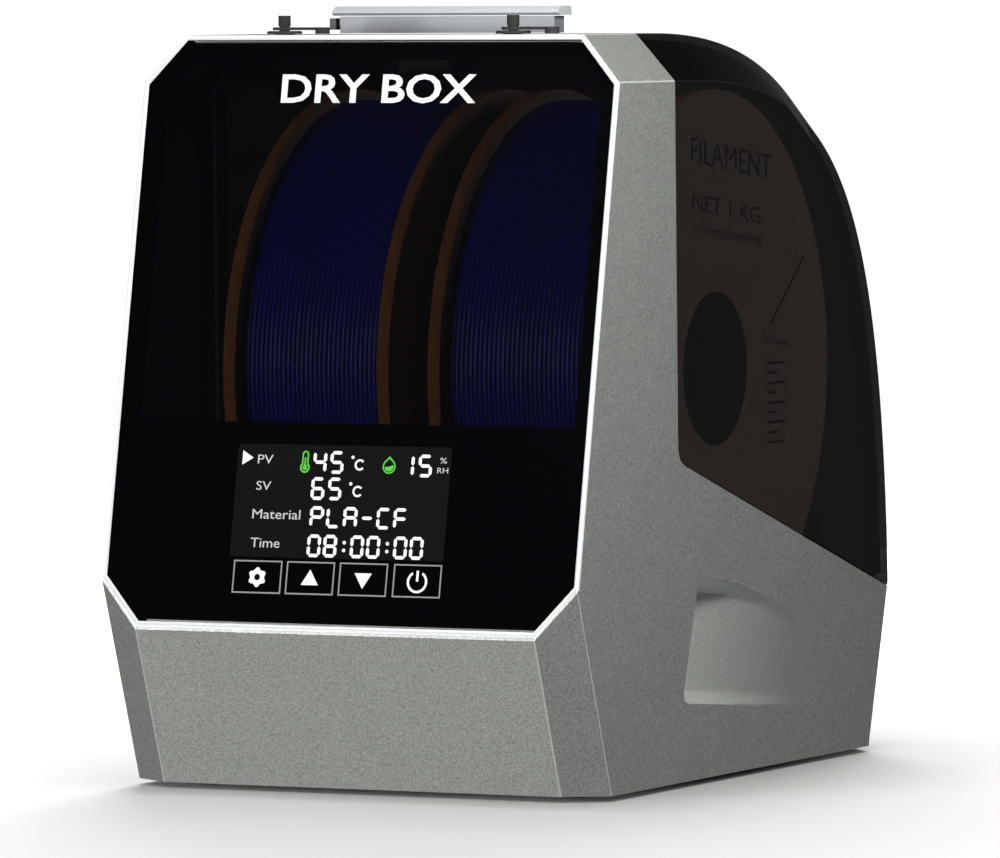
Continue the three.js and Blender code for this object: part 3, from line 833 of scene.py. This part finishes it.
def make_ledge():
    """Inner step along the seam that carries the gasket."""
    ledge = case_solid("seam_ledge", WALL / 2)
    combine(ledge, case_solid("hollow", LEDGE_DEPTH), "DIFFERENCE")
    combine(ledge, seam_tool(LEDGE_SEAM[0]), "DIFFERENCE")
    combine(ledge, front_tool(LEDGE_FRONT), "DIFFERENCE")
    return combine(ledge, seam_tool(LEDGE_SEAM[1]), "INTERSECT")


def make_housing():
    """Hollow case shell; its creases take material 1, a lighter silver that paints a highlight
    along them, and its inside material 3.
    """
    housing = case_solid("housing_shell", 0.0, marked=CREASE_HIGHLIGHT_STRIPS)
    hollow = case_solid("hollow", WALL, -WALL, -WALL)
    hollow.data.polygons.foreach_set("material_index", [3] * len(hollow.data.polygons))
    for _, side in SIDES:
        combine(hollow, scoop_tool(side, WALL), "DIFFERENCE")
    combine(housing, hollow, "DIFFERENCE")
    combine(housing, seam_tool(SEAM_GAP), "DIFFERENCE")
    combine(housing, make_ledge(), "UNION")
    for _, side in SIDES:
        combine(housing, scoop_tool(side, 0.0), "DIFFERENCE")
        bore = rod_z(OUTLET_BORE, HEIGHT - 2 * WALL, HEIGHT + 1, side * OUTLET_X, OUTLET_Y)
        combine(housing, bore, "DIFFERENCE")
    lip = panel_slab("lip_tool", panel_octagon(-GAP), -WIDTH, BEZEL_LIP + GAP)
    combine(housing, lip, "DIFFERENCE")
    rebate = case_solid("rebate", (WALL - GAP) / 2, WALL, 0.0)
    combine(rebate, front_tool(BEZEL_DEPTH + GAP), "INTERSECT")
    combine(housing, rebate, "DIFFERENCE")
    opening = box_tool(-INLET_HALF, INLET_HALF, *INLET_Y, *INLET_Z)
    return combine(housing, opening, "DIFFERENCE")


def make_lid():
    """Lid shell with a rib along the seam; its creases take material 1, a painted highlight, and
    its chamfers take material 2, a more opaque and less reflective copy that paints shade on them.
    """
    lid = case_solid("lid_shell", 0.0, marked=CREASE_HIGHLIGHT_STRIPS)
    combine(lid, case_solid("hollow", WALL), "DIFFERENCE")
    rib = case_solid("lid_rib", WALL / 2)
    combine(rib, case_solid("hollow", RIB_DEPTH), "DIFFERENCE")
    combine(rib, seam_tool(-RIB_SEAM), "DIFFERENCE")
    combine(lid, rib, "UNION")
    combine(lid, seam_tool(-SEAM_GAP), "INTERSECT")
    # The chamfer faces take the painted shade copy.
    for polygon in lid.data.polygons:
        if polygon.material_index == 0 and 0.2 < abs(polygon.normal.x) < 0.9:
            polygon.material_index = 2
    return lid


def make_bezel():
    """Frame round the panel: outer round, flat face, bevelled inner edge, rear body."""
    # Each ring: set in from the panel's edge, kept up from its foot, depth behind it.
    rings = [
        (0.0, 0.0, 1.22), (0.0, 0.0, 0.45), (0.08, 0.05, 0.2), (0.25, 0.2, 0.05),
        (0.45, 0.45, 0.0), (0.95, 1.3, 0.0), (1.1, 1.3, 0.03), (1.75, 1.3, 0.4),
        (1.75, 1.3, 3.8), (8.0, 1.3, 3.8), (8.0, 1.3, BEZEL_DEPTH),
        (1.6, 0.3, BEZEL_DEPTH), (1.6, 0.3, 1.22),
    ]
    rounded_rings, lower_edges = 3, (4, 5, 6, 7)
    # The flat face along the lower edges takes the darker rim copy as painted shade.
    shade_ring, shade_edges = 4, (4, 5, 6)
    # The inner wall, flange and rear body take the black mask material: painted shade in the
    # groove behind the rim.
    groove_shade_rings = (7, 8, 9, 10, 11)
    vertices = []
    for number, (inset, extra, depth) in enumerate(rings):
        for k, (x, down) in enumerate(panel_octagon(inset, extra)):
            if number < rounded_rings and k in lower_edges:
                down -= 0.5 * depth / math.tan(math.pi / 2 - BEZEL_LEAN)
            vertices.append(panel(x, down, -depth))
    count = 8
    faces = []
    for r in range(len(rings)):
        s = (r + 1) % len(rings)
        for k in range(count):
            m = (k + 1) % count
            faces.append((r * count + k, r * count + m, s * count + m, s * count + k))
    obj = make_object("panel_rim", vertices, faces)
    for polygon in obj.data.polygons:
        ring, edge = divmod(polygon.index, count)
        if ring == shade_ring and edge in shade_edges:
            polygon.material_index = 1
        elif ring in groove_shade_rings:
            polygon.material_index = 2
    recalculate(obj)
    return obj


def mark_scoops(obj):
    """The finger pockets take a silver with painted light of its own."""
    # Small slivers at the pocket's edges count whichever way they face.
    sliver = 1e-5
    low = put(0.0, SCOOP_LOW_FRONT[0] - 1, SCOOP_ZONE[0])
    high = put(0.0, SCOOP_REAR, SCOOP_ZONE[1])
    for polygon in obj.data.polygons:
        x, y, z = polygon.center
        inside = low.y < y < high.y and low.z < z < high.z
        if inside and (HALF - SCOOP_DEPTH - 1) * MM < abs(x) < (HALF - 0.06) * MM:
            if polygon.normal.x * x > 0 or polygon.area < sliver:
                polygon.material_index = 2


housing = make_housing()
mark_scoops(housing)
finish_piece(housing, "case", silver, "silver_body", "housing",
             extra=(crease_painted_highlight, scoop_painted_light, black_plastic), bevel=0.22, weighted=True)
lid = finish_piece(make_lid(), "lid", smoked_lid, "smoked_lid", "lid_dome",
                   extra=(smoked_crease_highlight, smoked_chamfer_shade), bevel=0.2, weighted=True)
finish_piece(make_bezel(), "case", rim_silver, "bright_rim", "front_bezel",
             extra=(rim_painted_shade, black_gloss), angle=12)

# ---- Flat artwork: readouts, keys and printing ----


def on_spool_side(side):
    """Artwork plane on a spool's outer flange, reading rearwards and downwards."""
    face = SPOOL_INNER_X + SPOOL_WIDTH

    def place(y, down, out):
        return put(side * (face + out), y, -down)

    return place


class Artwork:
    """Thin closed prisms that lie on one surface and make one piece."""

    def __init__(self, name, place, out0, out1):
        self.name = name
        self.place = place
        self.outs = (out0, out1)
        self.vertices = []
        self.faces = []

    def polygon(self, points):
        start = len(self.vertices)
        count = len(points)
        for out in self.outs:
            self.vertices += [self.place(x, down, out) for x, down in points]
        self.faces.append(tuple(range(start, start + count)))
        self.faces.append(tuple(range(start + count, start + 2 * count))[::-1])
        for j in range(count):
            k = (j + 1) % count
            a, b = start + j, start + k
            self.faces.append((a, a + count, b + count, b))

    def bar(self, x0, down0, x1, down1, width):
        """A straight stroke with pointed ends, as on a segment display."""
        length = math.hypot(x1 - x0, down1 - down0)
        ax, ad = (x1 - x0) / length, (down1 - down0) / length
        nx, nd = -ad * width / 2, ax * width / 2
        tip = width * 0.5
        self.polygon([
            (x0, down0),
            (x0 + ax * tip + nx, down0 + ad * tip + nd),
            (x1 - ax * tip + nx, down1 - ad * tip + nd),
            (x1, down1),
            (x1 - ax * tip - nx, down1 - ad * tip - nd),
            (x0 + ax * tip - nx, down0 + ad * tip - nd),
        ])

    def box(self, x0, x1, down0, down1):
        self.polygon([(x0, down0), (x1, down0), (x1, down1), (x0, down1)])

    def arc(self, x, down, inner, outer, start, end, steps=20):
        """Part of a ring, with angles in degrees clockwise from the top."""
        points = []
        for radius, order in ((outer, range(steps + 1)), (inner, range(steps, -1, -1))):
            for k in order:
                angle = math.radians(start + (end - start) * k / steps)
                points.append((x + radius * math.sin(angle), down - radius * math.cos(angle)))
        self.polygon(points)

    def frame(self, x0, x1, down0, down1, width):
        """A rectangle's outline, mitred at the corners."""
        left, right = x0 + width, x1 - width
        upper, lower = down0 + width, down1 - width
        outer = [(x0, down0), (x1, down0), (x1, down1), (x0, down1)]
        inner = [(left, upper), (right, upper), (right, lower), (left, lower)]
        for k in range(4):
            m = (k + 1) % 4
            self.polygon([outer[k], outer[m], inner[m], inner[k]])

    def text(self, words, x0, x1, baseline, height, weight=0.0, lean=0.0):
        """Plain lettering fitted to a width and a capital height.

        Each millimetre along the line lowers it by the lean.
        """
        data = bpy.data.curves.new("lettering", "FONT")
        data.body = words
        data.resolution_u = 3
        data.extrude = 0.1
        data.offset = weight
        holder = bpy.data.objects.new("lettering", data)
        scene.collection.objects.link(holder)
        depsgraph = bpy.context.evaluated_depsgraph_get()
        mesh = bpy.data.meshes.new_from_object(holder.evaluated_get(depsgraph))
        low = min(v.co.x for v in mesh.vertices)
        high = max(v.co.x for v in mesh.vertices)
        top = max(v.co.y for v in mesh.vertices)
        start = len(self.vertices)
        for v in mesh.vertices:
            x = x0 + (x1 - x0) * (v.co.x - low) / (high - low)
            out = self.outs[1] if v.co.z > 0 else self.outs[0]
            down = baseline + lean * abs(x - x0) - height * v.co.y / top
            self.vertices.append(self.place(x, down, out))
        self.faces += [tuple(start + i for i in p.vertices) for p in mesh.polygons]
        bpy.data.objects.remove(holder)
        bpy.data.curves.remove(data)
        bpy.data.meshes.remove(mesh)

    def finish(self, body, material, slot):
        obj = make_object(self.name, self.vertices, self.faces)
        merge = 1e-6
        work = bmesh.new()
        work.from_mesh(obj.data)
        bmesh.ops.remove_doubles(work, verts=work.verts, dist=merge)
        bmesh.ops.recalc_face_normals(work, faces=work.faces)
        work.to_mesh(obj.data)
        work.free()
        return finish_piece(obj, body, material, slot)


HOLE = 0.02
SEGMENTS = {
    "a": ((0, 0), (1, 0)), "b": ((1, 0), (1, 1)), "c": ((1, 1), (1, 2)), "d": ((0, 2), (1, 2)),
    "e": ((0, 1), (0, 2)), "f": ((0, 0), (0, 1)), "g": ((0, 1), (1, 1)),
}
CHARACTERS = {
    "0": "abcdef", "1": "bc", "4": "bcfg", "5": "acdfg", "6": "acdefg", "8": "abcdefg",
    "P": "abefg", "L": "def", "A": "abcefg", "-": "g", "C": "adef", "F": "aefg",
}


def segment_row(art, characters, x0, pitch, centre, width, height, stroke):
    """Segment characters along a row, centred on a distance down the panel."""
    gap = stroke * 0.12
    x = x0
    for character in characters:
        if character == ":":
            for offset in (-0.2, 0.2):
                dot = (x + pitch * 0.2, centre + offset * height)
                art.arc(*dot, HOLE, stroke * 0.55, 0, 360, 12)
            x += pitch * 0.68
            continue
        narrow = character == "1"
        across = 0.0 if narrow else width
        for key in CHARACTERS[character]:
            (u0, v0), (u1, v1) = SEGMENTS[key]
            left, right = x + u0 * across, x + u1 * across
            upper = centre + (v0 - 1) * height / 2
            lower = centre + (v1 - 1) * height / 2
            if u0 == u1:
                art.bar(left, upper + gap, right, lower - gap, stroke)
            else:
                art.bar(left + gap, upper, right - gap, lower, stroke)
        x += pitch * (0.45 if narrow else 1.0)


DISPLAY_X = (-43.0, 40.0)
DISPLAY_DOWN = (145.2, 185.0)
DISPLAY_CORNER = 1.6
KEYS = [(-41.0, -22.0), (-20.2, -1.5), (0.4, 19.1), (21.4, 39.9)]
KEY_TOP = 186.2
KEY_BOTTOM = 197.8
KEY_MIDDLE = 192.1
PRESENT_ROW = 151.2
SET_ROW = 160.5
MATERIAL_ROW = 170.5
TIME_ROW = 180.6
BACKLIGHT_OUT = (-0.49, -0.44)
MARK_OUT = (-0.42, -0.36)
NAMEPLATE_OUT = (-0.46, -0.4)


def make_backlight():
    art = Artwork("display_backlight", panel, *BACKLIGHT_OUT)
    (x0, x1), (top, bottom), corner = DISPLAY_X, DISPLAY_DOWN, DISPLAY_CORNER
    art.polygon([
        (x0 + corner, top), (x1, top), (x1, bottom), (x0, bottom),
        (x0, top + corner), (x0 + corner * 0.3, top + corner * 0.3),
    ])
    art.finish("case", display_dark, "display")


def add_degree(art, down):
    """Small ring and a C after a temperature."""
    art.arc(2.0, down - 1.9, HOLE, 0.6, 0, 360, 12)
    art.arc(4.9, down + 0.7, 1.3, 2.0, 130, 410, 16)


def add_arrow(art, x, tip):
    """Arrowhead that points up for a tip of 1 and down for -1."""
    base = KEY_MIDDLE + tip * 2.3
    art.polygon([(x, KEY_MIDDLE - tip * 3.1), (x + 3.3, base), (x - 3.3, base)])


def add_gear(art, x, down):
    """Six-lobed gear with a round hole, in two halves."""
    steps = 18
    for start in (0.0, 180.0):
        angles = [math.radians(start + 180.0 * k / steps) for k in range(steps + 1)]
        outer = [(angle, 3.1 + 0.42 * math.cos(6 * angle)) for angle in angles]
        inner = [(angle, 1.15) for angle in angles[::-1]]
        art.polygon([
            (x + radius * math.sin(angle), down - radius * math.cos(angle))
            for angle, radius in outer + inner
        ])


def add_power(art, x, down):
    """Open ring with an upright bar in its gap."""
    art.arc(x, down, 3.1, 3.9, 32, 328, 28)
    art.box(x - 0.42, x + 0.42, down - 3.9, down - 0.2)


def make_readouts():
    art = Artwork("display_readouts", panel, *MARK_OUT)
    digit = {"width": 4.1, "height": 6.8, "stroke": 1.15}
    letter = {"width": 4.3, "height": 6.4, "stroke": 1.15}
    art.polygon([(-41.0, 147.6), (-36.8, 150.1), (-41.0, 152.6)])
    segment_row(art, "45", -12.7, 6.6, PRESENT_ROW, **digit)
    segment_row(art, "15", 25.4, 6.2, PRESENT_ROW + 0.6, **digit)
    segment_row(art, "65", -12.7, 6.6, SET_ROW, **digit)
    segment_row(art, "PLA-CF", -12.3, 6.5, MATERIAL_ROW, **letter)
    segment_row(art, "08:00:00", -12.4, 6.25, TIME_ROW, **digit)
    add_degree(art, PRESENT_ROW)
    add_degree(art, SET_ROW)
    add_arrow(art, -10.9, 1.0)
    add_arrow(art, 9.7, -1.0)
    add_gear(art, -31.5, KEY_MIDDLE)
    add_power(art, 30.7, KEY_MIDDLE + 0.2)
    art.finish("case", lit_white, "display")


def make_labels():
    labels = Artwork("display_labels", panel, *MARK_OUT)
    labels.text("PV", -35.0, -29.0, PRESENT_ROW + 0.9, 3.1)
    labels.text("SV", -34.8, -29.0, SET_ROW + 0.9, 3.1)
    labels.text("Material", -35.4, -16.6, MATERIAL_ROW + 1.0, 3.3)
    labels.text("Time", -35.2, -23.8, TIME_ROW + 1.0, 3.3)
    labels.text("%", 35.8, 38.5, PRESENT_ROW - 0.4, 2.0)
    labels.text("RH", 35.0, 39.2, PRESENT_ROW + 3.0, 1.9)
    labels.finish("case", lit_label, "display")


def add_thermometer(art, x, down):
    art.arc(x, down + 2.0, 1.25, 1.9, 28, 332, 24)
    art.arc(x, down + 2.0, HOLE, 0.9, 0, 360, 16)
    art.arc(x, down - 2.6, 0.75, 1.3, -90, 90, 14)
    for shift in (-1.02, 1.02):
        art.box(x + shift - 0.27, x + shift + 0.27, down - 2.6, down + 0.5)
    art.box(x - 0.3, x + 0.3, down - 1.6, down + 1.4)


def add_drop(art, x, down):
    art.arc(x, down, 2.0, 2.5, 50, 310, 26)
    for tilt in (-1, 1):
        art.polygon([
            (x, down - 3.6), (x + tilt * 2.0, down - 1.7), (x + tilt * 1.6, down - 1.3),
            (x, down - 2.8),
        ])
    art.arc(x, down, HOLE, 1.7, 70, 265, 18)


def make_display_icons():
    art = Artwork("display_icons", panel, *MARK_OUT)
    add_thermometer(art, -16.4, PRESENT_ROW)
    add_drop(art, 16.3, PRESENT_ROW + 1.1)
    art.finish("case", lit_green, "display")


def make_keys():
    art = Artwork("touch_key_outlines", panel, *MARK_OUT)
    for x0, x1 in KEYS:
        art.frame(x0, x1, KEY_TOP, KEY_BOTTOM, 0.5)
    art.finish("case", lit_grey, "display")


def make_nameplate():
    art = Artwork("generic_nameplate", panel, *NAMEPLATE_OUT)
    art.text("DRY BOX", -38.0, 38.0, 23.9, 10.0, 0.018)
    art.finish("case", printed_white, "display")


PRINT_OUT = (0.02, 0.12)
PRINT_LEAN = 0.113
PRINT_LINES = (
    ("FILAMENT", 98.0, 168.0, 217.0, 9.0), ("NET 1 KG", 99.0, 158.0, 200.0, 6.0),
    ("1.75 MM DIAMETER", 99.0, 160.0, 192.0, 2.8), ("GRAMS", 160.0, 184.0, 150.0, 2.6),
)
GAUGE_START = (196.6, 181.0)
GAUGE_END = (167.2, 157.6)
TICK_Y = 164.0


def make_spool_print(name, side):
    """Plain wording, a gauge line and a scale on the outer flange of a spool."""
    art = Artwork(f"spool_print_{name}", on_spool_side(side), *PRINT_OUT)

    def forward(y):
        return y if side > 0 else 2 * SPOOL_CENTRE[0] - y

    for words, y0, y1, z, height in PRINT_LINES:
        art.text(words, forward(y0), forward(y1), -z, height, lean=PRINT_LEAN)
    (y0, z0), (y1, z1) = GAUGE_START, GAUGE_END
    art.polygon([
        (forward(y0), -z0), (forward(y0 + 0.7), -z0 + 0.9),
        (forward(y1 + 0.7), -z1 + 0.9), (forward(y1), -z1),
    ])
    for k in range(9):
        z = 143.0 - 3.6 * k
        reach = 16.0 if k % 2 == 0 else 9.0
        art.box(forward(TICK_Y), forward(TICK_Y + reach), -z, -z + 1.0)
    art.finish(f"spool_{name}", ink_and_bore_shade, "cardboard")


make_backlight()
make_readouts()
make_labels()
make_display_icons()
make_keys()
make_nameplate()

# ---- Spools ----


def rounded_section(corners, radius):
    """Closed section with every corner rounded."""
    points = []
    count = len(corners)
    for i in range(count):
        points += fillet(corners[i - 1], corners[i], corners[(i + 1) % count], radius, 3)
    return points


def make_spool(name, side):
    """Cardboard spool, its wound filament and the print on its outer flange."""
    edges = (SPOOL_INNER_X, SPOOL_INNER_X + SPOOL_WIDTH)
    x0, x1 = edges if side > 0 else (-edges[1], -edges[0])
    inner0, inner1 = x0 + FLANGE, x1 - FLANGE
    section = rounded_section([
        (x0, SPOOL_BORE), (x1, SPOOL_BORE), (x1, SPOOL_RADIUS), (inner1, SPOOL_RADIUS),
        (inner1, SPOOL_CORE), (inner0, SPOOL_CORE), (inner0, SPOOL_RADIUS), (x0, SPOOL_RADIUS),
    ], 0.4)
    spool = turned(f"cardboard_spool_{name}", section, SPOOL_CENTRE)
    finish_piece(spool, f"spool_{name}", cardboard, "cardboard", f"spool_{name}")
    spool.data.materials.append(printed_card)
    spool.data.materials.append(ink_and_bore_shade)
    axis_y, axis_z = put(0.0, *SPOOL_CENTRE)[1:]
    for polygon in spool.data.polygons:
        _, y, z = polygon.center
        if abs(polygon.normal.x) > 0.9:
            polygon.material_index = 1
        # The bore wall takes the black ink as painted shade inside the hole.
        elif math.hypot(y - axis_y, z - axis_z) < (SPOOL_BORE + 1.0) * MM:
            polygon.material_index = 2

    start, end = inner0 + GAP, inner1 - GAP
    strands = int((end - start) / STRAND)
    pitch = (end - start) / strands
    profile = [(end, SPOOL_CORE + GAP), (start, SPOOL_CORE + GAP)]
    for i in range(strands):
        for k in range(STRAND_STEPS + 1):
            t = k / STRAND_STEPS
            bulge = math.sqrt(max(1 - (2 * t - 1) ** 2, 0.0))
            along = start + (i + t * 0.999) * pitch
            profile.append((along, FILAMENT_RADIUS - STRAND / 2 + bulge * STRAND / 2))
    winding = turned(f"wound_filament_{name}", profile, SPOOL_CENTRE)
    finish_piece(winding, f"spool_{name}", filament, "filament", f"filament_{name}", angle=70)
    make_spool_print(name, side)
    return spool, winding


spool_parts = [piece for name, side in SIDES for piece in make_spool(name, side)]

# ---- Stage and light ----


FLOOR_HALF = 1.2
# Floor emission far from the object and at its centre; the dip near the object paints a shadow
# round its base.
FLOOR_GLOW_AND_SHADOW = (0.6, -0.06)


def add_floor():
    """White floor whose glow grows with distance from the object and drops below zero at its
    centre: a painted shadow round its base.
    """
    half = FLOOR_HALF
    floor = make_object("floor", [
        (-half, -half, 0.0), (half, -half, 0.0), (half, half, 0.0), (-half, half, 0.0),
    ], [(0, 1, 2, 3)])
    nodes = Nodes("floor_white", (0.72, 0.72, 0.72), 0.9, specular=0.0)
    nodes.colour(nodes.ramp(nodes.noise(3.0), [(0.3, (0.71,) * 3), (0.7, (0.73,) * 3)]))
    nodes.set("Emission Color", (1.0, 1.0, 1.0, 1.0))
    fade = nodes.add("ShaderNodeTexGradient")
    fade.gradient_type = "SPHERICAL"
    nodes.link(nodes.coordinates(), fade.inputs["Vector"])
    nodes.spread(fade.outputs["Fac"], "Emission Strength", *FLOOR_GLOW_AND_SHADOW)
    floor.data.materials.append(nodes.material)
    floor.visible_glossy = False
    floor.visible_diffuse = False
    return floor


def add_area(name, place, target, size, power, takers=None, blockers=None):
    """Area light, limited to its takers and shaded by its blockers where given."""
    data = bpy.data.lights.new(name, "AREA")
    data.shape = "RECTANGLE"
    data.size, data.size_y = size
    data.energy = power
    light = bpy.data.objects.new(name, data)
    scene.collection.objects.link(light)
    light.location = place
    aim = Vector(target) - Vector(place)
    light.rotation_euler = aim.to_track_quat("-Z", "Y").to_euler()
    if takers:
        light.light_linking.receiver_collection = gather(name + "_takers", takers)
    if blockers:
        light.light_linking.blocker_collection = gather(name + "_blockers", blockers)


def gather(name, objects):
    group = bpy.data.collections.new(name)
    for obj in objects:
        group.objects.link(obj)
    return group


def add_world():
    """White backdrop behind the object, with a weaker even light on it."""
    world = bpy.data.worlds.new("studio")
    scene.world = world
    world.use_nodes = True
    tree = world.node_tree
    fill = tree.nodes["Background"]
    backdrop = tree.nodes.new("ShaderNodeBackground")
    for node, strength in ((fill, 0.12), (backdrop, 1.05)):
        node.inputs["Color"].default_value = (1.0, 1.0, 1.0, 1.0)
        node.inputs["Strength"].default_value = strength
    path = tree.nodes.new("ShaderNodeLightPath")
    choose = tree.nodes.new("ShaderNodeMixShader")
    tree.links.new(path.outputs["Is Camera Ray"], choose.inputs["Fac"])
    tree.links.new(fill.outputs["Background"], choose.inputs[1])
    tree.links.new(backdrop.outputs["Background"], choose.inputs[2])
    tree.links.new(choose.outputs["Shader"], tree.nodes["World Output"].inputs["Surface"])


def add_lights(floor):
    """Studio lights; side_near leaves out the lid, where its reflection would glare."""
    meshes = [obj for obj in scene.objects if obj.type == "MESH"]
    subjects = [obj for obj in meshes if obj not in (floor, lid)]
    add_area("floor_light", (0.1, -0.6, 1.7), (0.1, -0.6, 0.0), (1.3, 1.3), 15.0, [floor])
    add_area("floor_back", (-0.85, 2.2, 1.3), (0.0, 0.0, 0.0), (1.6, 1.0), 88.0, [floor])
    add_area("front_strip", (-1.1, -1.9, 0.25), (0.0, 0.0, 0.12), (0.9, 0.3), 27.5)
    add_area("front_bounce", (-0.87, -1.4, -1.2), (0.0, -0.1, 0.03), (0.9, 0.9), 2.6,
             [housing], [housing])
    add_area("side_near", (0.4, -0.33, 0.44), (0.09, 0.0, 0.19), (0.16, 0.16), 3.4,
             subjects)
    add_area("scoop_bounce", (0.3, -0.02, -0.5), (0.09, 0.0, 0.07), (0.3, 0.3), 0.55,
             [housing], [housing])
    add_area("top_soft", (-0.1, 0.3, 1.8), (0.0, 0.05, 0.2), (0.9, 0.9), 10.5)
    add_area("spool_front", (-0.9, -1.2, 0.3), (0.0, 0.0, 0.15), (0.5, 0.5), 62.0,
             spool_parts, spool_parts)
    add_area("spool_side", (1.5, 0.3, 0.6), (0.0, 0.0, 0.15), (0.7, 0.7), 52.0,
             spool_parts, spool_parts)


add_world()
add_lights(add_floor())
scene.view_settings.view_transform = "Standard"
